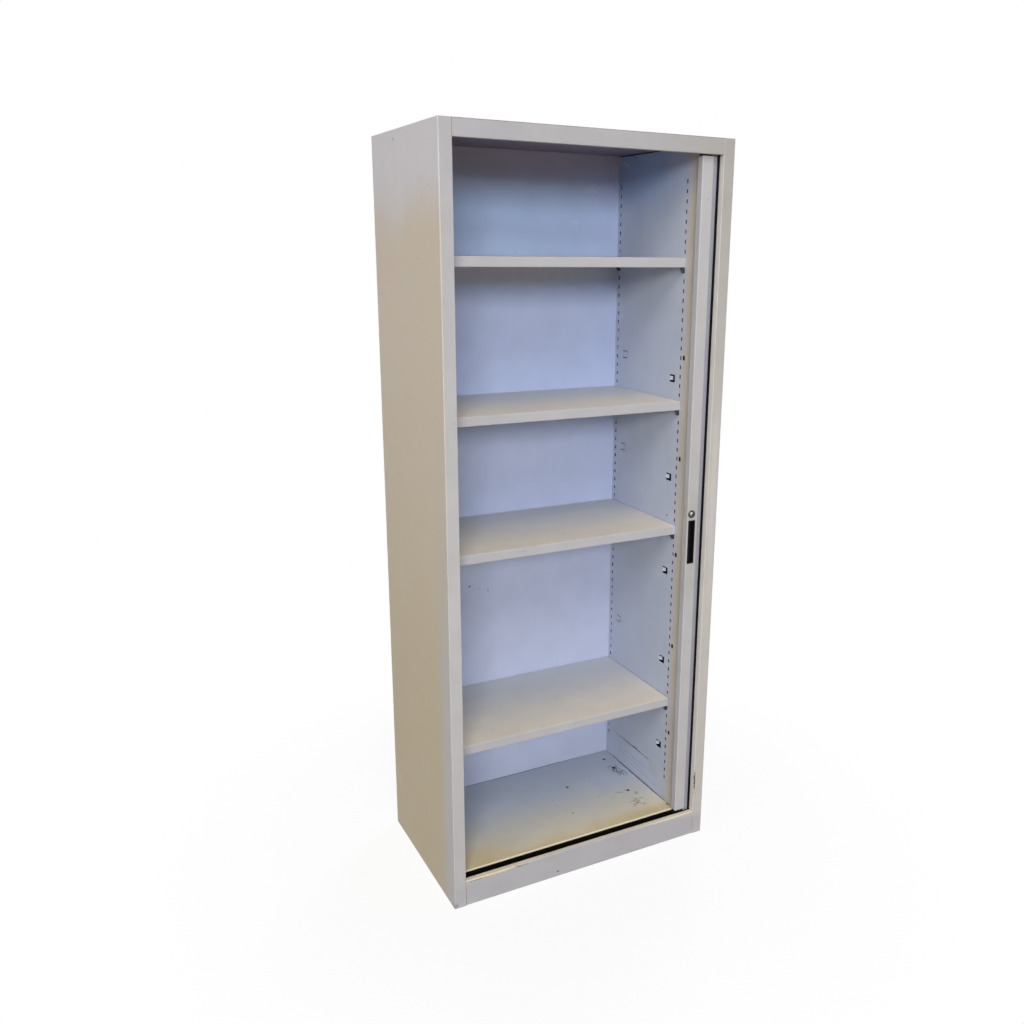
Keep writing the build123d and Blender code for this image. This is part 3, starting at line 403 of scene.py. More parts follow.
def carcass_colour(tree, where):
    """Cool grey in front, painted darker at the top as painted shade; on the sides painted warm floor light
    low down and a painted sheen at the top; and marks of wear.
    """
    spot = add(tree, "SeparateXYZ", {}, {0: where.outputs["Object"]})
    facing = add(tree, "SeparateXYZ", {}, {0: where.outputs["Normal"]})
    turned = add(tree, "Math", {"operation": "ABSOLUTE"}, {0: facing.outputs["X"]})
    across = add(tree, "Math", {"operation": "ABSOLUTE"}, {0: spot.outputs["X"]})
    skin = add(tree, "Math", {"operation": "GREATER_THAN", 1: half_width - SIDE_SKIN_MM * MM},
               {0: across.outputs[0]})
    side = add(tree, "Math", {"operation": "MULTIPLY"}, {0: turned.outputs[0], 1: skin.outputs[0]})
    cloud = add(tree, "TexNoise", {"Scale": 1 / (CLOUD_MM * MM), "Detail": 3.0},
                {"Vector": where.outputs["Object"]})
    drift = add(tree, "Math", {"operation": "MULTIPLY_ADD", 1: CLOUD_SWAY, 2: -CLOUD_SWAY / 2},
                {0: cloud.outputs["Fac"]})
    rise = add(tree, "Math", {"operation": "ADD"}, {0: spot.outputs["Z"], 1: drift.outputs[0]})
    low = add(tree, "MapRange", {"interpolation_type": "SMOOTHSTEP", "From Min": SIDE_FLOOR_LIGHT_FROM * height,
                                 "From Max": SIDE_FLOOR_LIGHT_TO * height}, {"Value": rise.outputs[0]})
    high = add(tree, "MapRange", {"interpolation_type": "SMOOTHSTEP", "From Min": SIDE_SHEEN_FROM * height,
                                  "From Max": SIDE_SHEEN_TO * height}, {"Value": rise.outputs[0]})
    side_floor_lit = add(tree, "Mix", {"data_type": "RGBA", 6: linear(SIDE_MIDDLE), 7: linear(SIDE_LOW_FLOOR_LIGHT)},
               {0: low.outputs[0]})
    side_lit = tint(tree, side_floor_lit.outputs[2], high.outputs[0], SIDE_TOP_SHEEN)
    near_front = add(tree, "MapRange", {"interpolation_type": "SMOOTHSTEP",
                                   "From Min": front_y + NEAR_FRONT_FROM_MM * MM,
                                   "From Max": front_y + NEAR_FRONT_TO_MM * MM}, {"Value": spot.outputs["Y"]})
    lower_front = add(tree, "Math", {"operation": "MULTIPLY"}, {0: near_front.outputs[0], 1: low.outputs[0]})
    side_lit = tint(tree, side_lit, lower_front.outputs[0], FRONT_GREY_LOW)
    right = add(tree, "MapRange", {"interpolation_type": "SMOOTHSTEP", "From Min": WARM_START_MM * MM,
                                   "From Max": half_width}, {"Value": spot.outputs["X"]})
    # The front's painted shade fades out below the top.
    below_top_shade = add(tree, "MapRange", {"From Min": height, "From Max": FRONT_TOP_SHADE_TO * height},
               {"Value": spot.outputs["Z"]})
    cool = add(tree, "Mix", {"data_type": "RGBA", 6: linear(FRONT_GREY_TOP_SHADE), 7: linear(FRONT_GREY_LOW)},
               {0: below_top_shade.outputs[0]})
    warm = add(tree, "Mix", {"data_type": "RGBA", 6: linear(FRONT_WARM_TOP_SHADE), 7: linear(FRONT_WARM_LOW)},
               {0: below_top_shade.outputs[0]})
    front = add(tree, "Mix", {"data_type": "RGBA"},
                {0: right.outputs[0], 6: cool.outputs[2], 7: warm.outputs[2]})
    both = add(tree, "Mix", {"data_type": "RGBA"}, {0: side.outputs[0], 6: front.outputs[2], 7: side_lit})
    folded_in = add(tree, "Math", {"operation": "SUBTRACT"}, {0: turned.outputs[0], 1: side.outputs[0]})
    colour = tint(tree, both.outputs[2], folded_in.outputs[0], REVEAL_HIGHLIGHT_GREY, REVEAL_HIGHLIGHT_SHARE)
    upward = add(tree, "MapRange", {"From Min": UPWARD[0], "From Max": UPWARD[1]},
                 {"Value": facing.outputs["Z"]})
    up_high = add(tree, "Math", {"operation": "GREATER_THAN", 1: LOW_LEDGE_MM * MM},
                  {0: spot.outputs["Z"]})
    dusty = add(tree, "Math", {"operation": "MULTIPLY"}, {0: upward.outputs[0], 1: up_high.outputs[0]})
    colour = tint(tree, colour, dusty.outputs[0], TOP_DUST, DUST_SHARE)
    up_low = add(tree, "Math", {"operation": "SUBTRACT", 0: 1.0}, {1: up_high.outputs[0]})
    dragged_and_lit = add(tree, "Math", {"operation": "MULTIPLY"}, {0: upward.outputs[0], 1: up_low.outputs[0]})
    colour = tint(tree, colour, dragged_and_lit.outputs[0], PLINTH_CREAM_HIGHLIGHT, CREAM_HIGHLIGHT_SHARE)
    return marked(tree, where, colour, CARCASS_MARKS_AND_LIGHT)


carcass_enamel = enamel("light_grey_stove_enamel", carcass_colour)

# %% [markdown]
# ## Spot welds on the back
# The back sheet is spot-welded to the flanges of the sides. A weld leaves a shallow round dimple under
# the paint. They stand in a row down each flange, so one repeating distance along the height, and the
# distance from the row, give all of them.

# %% Back enamel
WELD_PITCH_MM = 120.0
WELD_RADIUS_MM = 5.0
WELD_INSET_MM = 12.0
WELD_DEPTH_MM = 1.2
WELD_FLAT = 0.4
WELD_STRENGTH = 0.9


def weld_dimples(tree, where, normal):
    """Bump with a round dimple every pitch down both long edges."""
    spot = add(tree, "SeparateXYZ", {}, {0: where.outputs["Object"]})
    across = add(tree, "Math", {"operation": "ABSOLUTE"}, {0: spot.outputs["X"]})
    off_row = add(tree, "Math", {"operation": "SUBTRACT", 1: half_width - WELD_INSET_MM * MM},
                  {0: across.outputs[0]})
    off_weld = add(tree, "Math", {"operation": "PINGPONG", 1: WELD_PITCH_MM * MM / 2},
                   {0: spot.outputs["Z"]})
    joined = add(tree, "CombineXYZ", {}, {"X": off_row.outputs[0], "Y": off_weld.outputs[0]})
    distance = add(tree, "VectorMath", {"operation": "LENGTH"}, {0: joined.outputs[0]})
    dimple = add(tree, "MapRange", {"interpolation_type": "SMOOTHSTEP",
                                    "From Min": WELD_FLAT * WELD_RADIUS_MM * MM,
                                    "From Max": WELD_RADIUS_MM * MM}, {"Value": distance.outputs["Value"]})
    bump = add(tree, "Bump", {"Strength": WELD_STRENGTH, "Distance": WELD_DEPTH_MM * MM},
               {"Height": dimple.outputs[0], "Normal": normal})
    return bump.outputs[0]


back_enamel = enamel("light_grey_stove_enamel_back", carcass_colour, relief=weld_dimples)

# %% [markdown]
# ## From lit to shaded
# Inside, the paint is painted bluer as painted cool shade, and the strip within a hand's breadth of the
# front is painted warmer as painted light from the opening. Depth behind the front face sets the blend, and
# noise moves it so that the change has no straight edge.

# %% From lit to shaded
WANDER_NOISE_MM = 120.0


def lit_to_shaded_blend(tree, where, shaded_colour, lit_colour, near_mm, far_mm, wander_mm=50.0):
    """A colour that goes from painted light at the front to painted shade at the back."""
    spot = add(tree, "SeparateXYZ", {}, {0: where.outputs["Object"]})
    cloud = add(tree, "TexNoise", {"Scale": 1 / (WANDER_NOISE_MM * MM), "Detail": 3.0},
                {"Vector": where.outputs["Object"]})
    moved = add(tree, "Math", {"operation": "MULTIPLY_ADD", 1: wander_mm * MM},
                {0: cloud.outputs["Fac"], 2: spot.outputs["Y"]})
    start = front_y + wander_mm * MM / 2
    depth = add(tree, "MapRange", {"interpolation_type": "SMOOTHSTEP", "From Min": start + near_mm * MM,
                                   "From Max": start + far_mm * MM}, {"Value": moved.outputs[0]})
    blend = add(tree, "Mix", {"data_type": "RGBA", 6: linear(lit_colour), 7: linear(shaded_colour)},
                {0: depth.outputs[0]})
    return blend.outputs[2]


print("the change wanders at", WANDER_NOISE_MM, "mm")

# %% [markdown]
# ## Inner colours and marks
# The inner back is painted the bluest, as painted cool shade, and its tone changes slowly from one
# compartment to the next: broad patches paint the shade under the rail and under the top shelf, and a
# lighter, bluer light lower down. The liner has painted shade at its top, one long brown line low down,
# fainter ones beside it, and a dirty seam at the floor. The ceiling sees little light, and its downward
# faces are painted a dark mauve as painted shade.

# %% Inner colours and marks
BLUE_FROM_MM, BLUE_TO_MM = 1500.0, 200.0
# The inner blues are painted cool shade.
INNER_BLUE_SHADE = "ACBADE"
INNER_LOW_BLUE_SHADE = "B3BAD3"
# The ceiling's dark mauve is painted shade.
CEILING_SHADE_MAUVE = "857B8C"
# The liner's blue is painted shade and its beige painted light.
LINER_BACK_SHADE = "B4BCCE"
LINER_FRONT_LIGHT = "BFB7AA"
BACK_MARKS_AND_LIGHT = [
    # Painted shade: the rail's shadow at the top of the inner back and on the ceiling.
    ((-20, 441, 1990), (700, 600, 125), "A9A6BE", 0.95, {"ragged": 0.05, "grain_mm": 60.0}),
    # Painted light: the next two make the top compartment bluer and lighter below the rail's shadow.
    ((-20, 441, 1805), (620, 5, 100), "A0BBE2", 0.6, BROAD),
    ((-20, 441, 1700), (620, 5, 60), "B8D2F6", 0.5, BROAD),
    # Painted shade under the top shelf.
    ((-20, 441, 1642), (620, 5, 50), "C4BDB6", 0.55, {"ragged": 0.1, "grain_mm": 60.0, "soft": 0.8}),
    # Painted light in the lowest compartment.
    ((-20, 441, 200), (520, 5, 190), "C2CEEE", 0.6, {"ragged": 0.1, "grain_mm": 60.0, "soft": 0.8}),
    ((-162, 441, 734), (4.0, 5, 4.0), "3F4048", 0.9, {"ragged": 0.2, "grain_mm": 4.0}),
    ((-102, 441, 714), (3.0, 5, 9.0), "6E7180", 0.5, {"grain_mm": 4.0}),
    ((-130, 441, 722), (2.0, 5, 5.0), "6E7180", 0.5, {"grain_mm": 4.0}),
    ((235, 441, 1872), (30.0, 5, 12.0), "E9E6F2", 0.12, {"ragged": 0.8, "grain_mm": 9.0}),
    ((181, 441, 1782), (18.0, 5, 7.0), "E9E6F2", 0.10, {"ragged": 0.8, "grain_mm": 9.0}),
]
LINER_MARKS_AND_SHADE = [
    # Painted shade at the top of the liner.
    ((325, 300, 1930), (4, 330, 190), "90A9D5", 0.85, BROAD),
    ((325, 398, 1941), (4, 24, 1.8), "DCD4E0", 0.7, {"turn": 26.0, "grain_mm": 6.0}),
    ((325, 270, 168), (4, 140, 2.8), "6B5C44", 0.85, {"ragged": 0.4, "grain_mm": 9.0}),
    ((325, 262, 171), (4, 16, 3.0), "5B5244", 0.7, {"ragged": 0.5, "grain_mm": 5.0}),
    ((325, 160, 148), (4, 46, 34), "B0A68F", 0.22, {"ragged": 0.3, "grain_mm": 20.0, "soft": 0.95}),
    ((325, 250, 132), (4, 110, 1.6), "8E8474", 0.5, {"ragged": 0.5, "grain_mm": 9.0}),
    ((325, 290, 116), (4, 120, 1.4), "948B7C", 0.4, {"ragged": 0.5, "grain_mm": 9.0}),
    ((325, 220, 101), (4, 150, 1.6), "8E8474", 0.45, {"ragged": 0.5, "grain_mm": 11.0}),
    ((325, 240, 75.6), (4, 240, 1.8), "3E3833", 0.85, {"ragged": 0.3, "grain_mm": 10.0, "soft": 0.6}),
    ((325, 95, 82), (4, 60, 9.0), "8F8168", 0.35, {"ragged": 0.4, "grain_mm": 9.0, "soft": 0.9}),
]
print(len(BACK_MARKS_AND_LIGHT), "marks on the inner back,", len(LINER_MARKS_AND_SHADE), "on the liners")

# %% [markdown]
# ## Inner enamels
# The ceiling shares the inner back's paint, and its downward facing gets a dark mauve, painted shade. The
# liner is painted blue-grey shade behind the shelves' front edges and beige light in front of them, with a
# short change between.

# %% Inner enamels
DOWNWARD = -0.5


def inner_back_colour(tree, where):
    """The bluest paint as painted cool shade, with painted shade and light patches, a few specks and rubbed
    places, and painted shade on the ceiling.
    """
    base = lit_to_shaded_blend(tree, where, INNER_BLUE_SHADE, INNER_LOW_BLUE_SHADE, near_mm=0, far_mm=100)
    spot = add(tree, "SeparateXYZ", {}, {0: where.outputs["Object"]})
    low = add(tree, "MapRange", {"From Min": BLUE_FROM_MM * MM, "From Max": BLUE_TO_MM * MM},
              {"Value": spot.outputs["Z"]})
    paint = marked(tree, where, tint(tree, base, low.outputs[0], INNER_LOW_BLUE_SHADE), BACK_MARKS_AND_LIGHT)
    facing = add(tree, "SeparateXYZ", {}, {0: where.outputs["Normal"]})
    underside = add(tree, "Math", {"operation": "LESS_THAN", 1: DOWNWARD}, {0: facing.outputs["Z"]})
    return tint(tree, paint, underside.outputs[0], CEILING_SHADE_MAUVE)


def liner_colour(tree, where):
    """Blue-grey painted shade behind the shelves' front edges, beige painted light in front of them."""
    base = lit_to_shaded_blend(tree, where, LINER_BACK_SHADE, LINER_FRONT_LIGHT, near_mm=62, far_mm=108, wander_mm=20.0)
    return marked(tree, where, base, LINER_MARKS_AND_SHADE)


inner_back_enamel = enamel("blue_grey_enamel_inner_back", inner_back_colour, specks=0.1, edge_wear_and_highlight=0.0)
liner_enamel = enamel("blue_grey_enamel_liner", liner_colour, specks=0.2, edge_wear_and_highlight=0.2)

# %% [markdown]
# ## Shelf enamel
# The shelves' front lips are neutral grey, their tops are painted from cream light at the front to
# blue-grey shade at the back. Facing tells lip from top. The thin gap round the other three sides has
# gathered dust and dirt.

# %% Shelf enamel
SHELF_LIP = "AFB0B7"
SEAM_DARK = "4C5058"
# The shelf tops' blue-grey at the back is painted shade and their cream at the front painted light.
SHELF_BACK_SHADE = "B4B8BE"
SHELF_FRONT_LIGHT = "E4DACA"
SEAM_MM = 1.6
SEAM_SHARE = 0.6
LIP_FACING = (-0.35, -0.85)
shelf_low, shelf_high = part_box("shelf_1")
shelf_middle = (shelf_low[0] + shelf_high[0]) / 2
shelf_reach = (shelf_high[0] - shelf_low[0]) / 2
shelf_rear = shelf_high[1]


def shelf_colour(tree, where):
    """Grey lip, and a top painted creamier light at the front and blue-grey shade at the back, with a dark
    seam round the other three sides.
    """
    top = lit_to_shaded_blend(tree, where, SHELF_BACK_SHADE, SHELF_FRONT_LIGHT, near_mm=70, far_mm=400)
    spot = add(tree, "SeparateXYZ", {}, {0: where.outputs["Object"]})
    off_middle = add(tree, "Math", {"operation": "SUBTRACT", 1: shelf_middle}, {0: spot.outputs["X"]})
    across = add(tree, "Math", {"operation": "ABSOLUTE"}, {0: off_middle.outputs[0]})
    at_end = add(tree, "Math", {"operation": "GREATER_THAN", 1: shelf_reach - SEAM_MM * MM},
                 {0: across.outputs[0]})
    at_rear = add(tree, "Math", {"operation": "GREATER_THAN", 1: shelf_rear - SEAM_MM * MM},
                  {0: spot.outputs["Y"]})
    seam = add(tree, "Math", {"operation": "MAXIMUM"}, {0: at_end.outputs[0], 1: at_rear.outputs[0]})
    top = tint(tree, top, seam.outputs[0], SEAM_DARK, SEAM_SHARE)
    facing = add(tree, "SeparateXYZ", {}, {0: where.outputs["Normal"]})
    lip = add(tree, "MapRange", {"From Min": LIP_FACING[0], "From Max": LIP_FACING[1]},
              {"Value": facing.outputs["Y"]})
    return tint(tree, top, lip.outputs[0], SHELF_LIP)


shelf_enamel = enamel("light_grey_enamel_shelf", shelf_colour, edge_wear_and_highlight=0.7)

# %% [markdown]
# ## Floor enamel
# The cupboard's floor has had the most light and water: its front is stained yellow-brown, most of all in
# the corners, and heavy things have left rubbed black marks towards the right. Under the stain it is
# painted beige light at the front and blue-grey shade at the back. The seams along the back and the liner
# are dark. The hem that stands up at the front edge is cream, partly rubbed and partly a painted highlight.

# %% Floor enamel
# The floor's blue-grey at the back is painted shade and its beige at the front painted light.
FLOOR_BACK_SHADE = "ABB5C5"
FLOOR_FRONT_LIGHT = "DCD4BE"
FLOOR_STAIN = "D4B574"
# The hem's cream is partly rubbed paint and partly a painted highlight.
HEM_CREAM_HIGHLIGHT = "F4EBD8"
STAIN_NOISE_MM = 50.0
STAIN_SWAY_MM = 80.0
STAIN_FROM_MM, STAIN_TO_MM = 150.0, 70.0
STAIN_SHARE = 0.5
HEM_START_MM = 0.4
FLOOR_MARKS = [
    ((286, 312, 75), (24, 44, 5), "1E1B18", 0.95, {"ragged": 0.3, "fleck_mm": 4.0, "soft": 0.6}),
    ((287, 327, 75), (9, 8, 5), "0C0A09", 1.0, {"ragged": 0.4, "grain_mm": 6.0}),
    ((302, 285, 75), (14, 26, 5), "332E29", 0.7, {"ragged": 0.4, "fleck_mm": 4.0, "soft": 0.8}),
    ((257, 191, 75), (7, 7, 5), "0F0D0B", 1.0, {"ragged": 0.4, "grain_mm": 5.0}),
    ((236, 193, 75), (28, 9, 5), "332D27", 0.85, {"ragged": 0.45, "fleck_mm": 6.0, "soft": 0.7}),
    ((270, 168, 75), (9, 18, 5), "4A3A32", 0.85, {"ragged": 0.45, "fleck_mm": 6.0, "soft": 0.7}),
    ((250, 118, 75), (36, 36, 5), "352E26", 0.85, {"ragged": 0.4, "fleck_mm": 6.0, "soft": 0.8}),
    ((96, 293, 75), (6, 7, 5), "2A2622", 0.95, {"ragged": 0.4, "grain_mm": 5.0}),
    ((43, 157, 75), (3, 4, 5), "4A4640", 0.8, {"ragged": 0.3, "grain_mm": 4.0}),
    ((154, 199, 75), (2.5, 3, 5), "55504A", 0.8, {"ragged": 0.3, "grain_mm": 4.0}),
    ((250, 62, 75), (170, 36, 6), "CDB784", 0.5, {"ragged": 0.15, "grain_mm": 50.0, "soft": 0.95}),
    ((-310, 90, 75), (170, 70, 6), "CFB780", 0.5, {"ragged": 0.15, "grain_mm": 60.0, "soft": 0.95}),
    ((322, 68, 75), (5, 9, 6), "4A3D2E", 0.7, {"ragged": 0.4, "grain_mm": 6.0}),
    ((324, 250, 75), (3.2, 215, 6), "35312C", 0.85, {"ragged": 0.3, "grain_mm": 12.0, "soft": 0.6}),
    ((-20, 441, 75), (350, 3.8, 6), "3E4148", 0.8, {"ragged": 0.2, "grain_mm": 12.0, "soft": 0.6}),
]


def floor_colour(tree, where):
    """Painted blue-grey shade at the back, beige light at the front, with a stained edge, a cream hem that
    is partly a painted highlight, and black marks.
    """
    base = lit_to_shaded_blend(tree, where, FLOOR_BACK_SHADE, FLOOR_FRONT_LIGHT, near_mm=40, far_mm=320, wander_mm=90.0)
    cloud = add(tree, "TexNoise", {"Scale": 1 / (STAIN_NOISE_MM * MM), "Detail": 5.0},
                {"Vector": where.outputs["Object"]})
    spot = add(tree, "SeparateXYZ", {}, {0: where.outputs["Object"]})
    moved = add(tree, "Math", {"operation": "MULTIPLY_ADD", 1: STAIN_SWAY_MM * MM},
                {0: cloud.outputs["Fac"], 2: spot.outputs["Y"]})
    stain = add(tree, "MapRange", {"interpolation_type": "SMOOTHSTEP",
                                   "From Min": front_y + STAIN_FROM_MM * MM,
                                   "From Max": front_y + STAIN_TO_MM * MM}, {"Value": moved.outputs[0]})
    colour = tint(tree, base, stain.outputs[0], FLOOR_STAIN, STAIN_SHARE)
    colour = marked(tree, where, colour, FLOOR_MARKS)
    hem = add(tree, "Math", {"operation": "GREATER_THAN", 1: floor_top + HEM_START_MM * MM},
              {0: spot.outputs["Z"]})
    return tint(tree, colour, hem.outputs[0], HEM_CREAM_HIGHLIGHT)


floor_enamel = enamel("light_grey_enamel_floor", floor_colour, specks=0.4, edge_wear_and_highlight=0.2)

# %% [markdown]
# ## Leading stile
# The door's leading stile carries the same enamel, rubbed by hands along its edges. Hands have also
# darkened it a little round the pull and the lock.

# %% Leading stile
LEAD_GREY = "B1B2B6"
LEAD_TOUCHED = "A6A39E"
TOUCHED_FROM_MM, TOUCHED_TO_MM = 300.0, 50.0
TOUCHED_AMOUNT = 0.8
GRIME_MM = 30.0
pull_low, pull_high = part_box("pull_cup")
hand_height = (pull_low[2] + pull_high[2]) / 2


def lead_colour(tree, where):
    """Light grey, darker where hands take the pull."""
    spot = add(tree, "SeparateXYZ", {}, {0: where.outputs["Object"]})
    away = add(tree, "Math", {"operation": "SUBTRACT", 1: hand_height}, {0: spot.outputs["Z"]})
    reach = add(tree, "Math", {"operation": "ABSOLUTE"}, {0: away.outputs[0]})
    touched = add(tree, "MapRange", {"interpolation_type": "SMOOTHSTEP", "From Min": TOUCHED_FROM_MM * MM,
                                     "From Max": TOUCHED_TO_MM * MM}, {"Value": reach.outputs[0]})
    grime = add(tree, "TexNoise", {"Scale": 1 / (GRIME_MM * MM), "Detail": 4.0},
                {"Vector": where.outputs["Object"]})
    share = add(tree, "Math", {"operation": "MULTIPLY"}, {0: touched.outputs[0], 1: grime.outputs["Fac"]})
    eased = add(tree, "Math", {"operation": "MULTIPLY", 1: TOUCHED_AMOUNT}, {0: share.outputs[0]})
    paint = add(tree, "Mix", {"data_type": "RGBA", 6: linear(LEAD_GREY), 7: linear(LEAD_TOUCHED)},
                {0: eased.outputs[0]})
    return paint.outputs[2]


lead_enamel = enamel("light_grey_stove_enamel_lead", lead_colour, edge_wear_and_highlight=0.6)

# %% [markdown]
# ## Curtain
# The curtain is painted a darker blue-grey, which is painted shade: it stands recessed in the shade of the
# stiles. Real slats are rolled along both edges where they hook together, so the paint gets that bead as a
# bump: the slats nest too closely behind the stile for a bead of real steel.

# %% Curtain
# Both curtain greys are painted shade.
CURTAIN_SHADE_GREY = "9092A1"
CURTAIN_FRONT_SHADE_GREY = "9395A2"
BEAD_WIDTH_MM = 2.4
BEAD_INSET_MM = 2.2
BEAD_HEIGHT_MM = 0.8
BEAD_STRENGTH = 0.8
FRONT_FACE_RANGE = (0.2, -0.8)
slat_low, slat_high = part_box("slat_01")
slat_middle = (slat_low[0] + slat_high[0]) / 2
slat_reach = (slat_high[0] - slat_low[0]) / 2


def curtain_colour(tree, where):
    """Blue-grey painted shade, a little lighter on the face that shows when the door is open."""
    facing = add(tree, "SeparateXYZ", {}, {0: where.outputs["Normal"]})
    outward = add(tree, "MapRange", {"From Min": FRONT_FACE_RANGE[0], "From Max": FRONT_FACE_RANGE[1]},
                  {"Value": facing.outputs["Y"]})
    front_tone = add(tree, "Mix", {"data_type": "RGBA", 6: linear(CURTAIN_SHADE_GREY), 7: linear(CURTAIN_FRONT_SHADE_GREY)},
                {0: outward.outputs[0]})
    return front_tone.outputs[2]


def rolled_edges(tree, where, normal):
    """Bump with a round bead along both edges of a slat."""
    spot = add(tree, "SeparateXYZ", {}, {0: where.outputs["Object"]})
    off_middle = add(tree, "Math", {"operation": "SUBTRACT", 1: slat_middle}, {0: spot.outputs["X"]})
    across = add(tree, "Math", {"operation": "ABSOLUTE"}, {0: off_middle.outputs[0]})
    off_bead = add(tree, "Math", {"operation": "SUBTRACT", 1: slat_reach - BEAD_INSET_MM * MM},
                   {0: across.outputs[0]})
    away = add(tree, "Math", {"operation": "ABSOLUTE"}, {0: off_bead.outputs[0]})
    bead = add(tree, "MapRange", {"interpolation_type": "SMOOTHSTEP", "From Min": BEAD_WIDTH_MM * MM / 2,
                                  "From Max": 0.0}, {"Value": away.outputs[0]})
    bump = add(tree, "Bump", {"Strength": BEAD_STRENGTH, "Distance": BEAD_HEIGHT_MM * MM},
               {"Height": bead.outputs[0], "Normal": normal})
    return bump.outputs[0]


curtain_enamel = enamel("grey_stove_enamel_curtain", curtain_colour, edge_wear_and_highlight=0.3, relief=rolled_edges)

# %% [markdown]
# ## One recipe for the small parts
# Plastic, rubber and plating differ in colour, sheen and grain alone, so one recipe makes them all. Its
# grain moves the sheen, the tone and the surface together.

# %% Recipe for the small parts
GRAIN_DEPTH_MM = 0.3


def solid_finish(name, colour, roughness, metallic=0.0, grain_mm=3.0, grain=0.05, spread=0.08, cloud=0.12,
                 gloss=0.5, marks=()):
    """Plated, moulded or rubber finish with a fine grain in its sheen, tone and surface, and any marks."""
    material, tree, output, where = new_material(name)
    noise = add(tree, "TexNoise", {"Scale": 1 / (grain_mm * MM), "Detail": 3.0},
                {"Vector": where.outputs["Object"]})
    sheen = add(tree, "MapRange", {"From Min": NOISE_LOW, "From Max": NOISE_HIGH,
                                   "To Min": roughness - spread, "To Max": roughness + spread},
                {"Value": noise.outputs["Fac"]})
    tone = add(tree, "MapRange", {"From Min": NOISE_LOW, "From Max": NOISE_HIGH},
               {"Value": noise.outputs["Fac"]})
    bright = [min(1.0, c * (1 + cloud)) for c in linear(colour)]
    dark = [c * (1 - cloud) for c in linear(colour)]
    mixed = add(tree, "Mix", {"data_type": "RGBA", 6: dark, 7: bright}, {0: tone.outputs[0]})
    paint = marked(tree, where, mixed.outputs[2], marks)
    bump = add(tree, "Bump", {"Strength": grain, "Distance": GRAIN_DEPTH_MM * MM},
               {"Height": noise.outputs["Fac"]})
    shader = add(tree, "BsdfPrincipled", {"Metallic": metallic, "Specular IOR Level": gloss},
                 {"Base Color": paint, "Roughness": sheen.outputs[0], "Normal": bump.outputs[0]})
    tree.links.new(shader.outputs[0], output.inputs["Surface"])
    print(name, "uses", len(tree.nodes), "nodes")
    return material


print("the small parts' grain is", GRAIN_DEPTH_MM, "mm deep")

# %% [markdown]
# ## Black parts and plating
# The tracks are black enamel, the strip is rubber, whose black is also painted shade for the deep gap
# beside the stile, and the pull and shoes are moulded plastic. The small steel is zinc plated, which looks
# grey with a faint crystal bloom; the shelf clips' zinc is painted darker as painted shade under the shelf
# ends. The lock is nickel plated, painted dark as a painted reflection of dark surroundings, with a painted
# highlight above its middle.

# %% Black parts and plating
# The strip's black is also painted shade for the deep gap beside the stile.
rubber = solid_finish("black_rubber_strip_gap_shade", "0A0A0B", 0.8, grain=0.2, gloss=0.08)
black_enamel = solid_finish("black_enamel_track", "0A0908", 0.7, grain_mm=6.0, gloss=0.08)
moulded_black = solid_finish("black_moulded_plastic", "101011", 0.5, grain=0.15, gloss=0.15)
nylon = solid_finish("dark_nylon", "1E1E20", 0.5, gloss=0.2)
lock_low, lock_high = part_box("lock_barrel")
lock_x = (lock_low[0] + lock_high[0]) / 2 / MM
lock_z = (lock_low[2] + lock_high[2]) / 2 / MM
# A painted highlight on the lock, above its middle.
LOCK_HIGHLIGHT = [
    ((lock_x - 3.5, 14, lock_z - 1.0), (6.0, 9, 5.0), "9A948A", 0.8, {"ragged": 0.1, "soft": 0.8}),
    ((lock_x - 2.0, 14, lock_z + 3.4), (5.5, 9, 4.4), "F4F2EC", 1.0, {"ragged": 0.05, "soft": 0.6}),
]
# The nickel's dark base is a painted reflection of dark surroundings.
nickel = solid_finish("nickel_plate_dark_reflection", "4A4741", 0.25, metallic=1.0, spread=0.06, cloud=0.25,
                      marks=LOCK_HIGHLIGHT)
nickel_plug = solid_finish("nickel_plug_dark_reflection", "57534C", 0.35, metallic=1.0, cloud=0.25, marks=LOCK_HIGHLIGHT)
# The shelf clips' darker zinc is painted shade under the shelf ends.
shaded_zinc = solid_finish("zinc_plate_painted_shade", "585D66", 0.5, metallic=1.0, grain_mm=5.0)
zinc = solid_finish("bright_zinc_plate", "B4B7BA", 0.38, metallic=1.0, grain_mm=5.0)

# %% [markdown]
# ## Dress the frame
# Every piece of the frame gets the finish of its material slot, and a few get one of their own. The small
# moulded, turned and stamped parts also get a bevel: a real edge is never sharp, and the bright line that
# a tenth of a millimetre of rounding catches is what makes a small part look solid.

# %% Dress the frame
finish_of_slot = {
    "carcass_paint": carcass_enamel,
    "inner_back_paint": inner_back_enamel,
    "liner_paint": liner_enamel,
    "shelf_paint": shelf_enamel,
    "curtain_paint": curtain_enamel,
    "black_enamel": black_enamel,
    "black_rubber": rubber,
    "zinc_plate": zinc,
    "nickel_plate": nickel,
    "black_plastic": moulded_black,
    "shoe_plastic": nylon,
}
finish_of_node = {
    "back_panel": back_enamel,
    "floor_panel": floor_enamel,
    "lead_stile": lead_enamel,
    "lock_plug": nickel_plug,
    "shelf_clips": shaded_zinc,
}
bevel_mm_of_node = {
    "pull_cup": 0.4,
    "lock_barrel": 0.3,
    "lock_plug": 0.5,
    "lock_cam": 0.3,
    "lock_nut": 0.5,
    "cam_screw": 0.4,
    "guide_shoes": 1.0,
    "strike_rivets": 0.3,
    "strike_plate": 0.2,
    "shelf_clips": 0.3,
}
FOOT_BEVEL_MM = 1.2
for end in ("front", "rear"):
    for side in ("left", "right"):
        bevel_mm_of_node[f"foot_{end}_{side}"] = FOOT_BEVEL_MM
BEVEL_SEGMENTS = 3
BEVEL_ANGLE = math.radians(40)
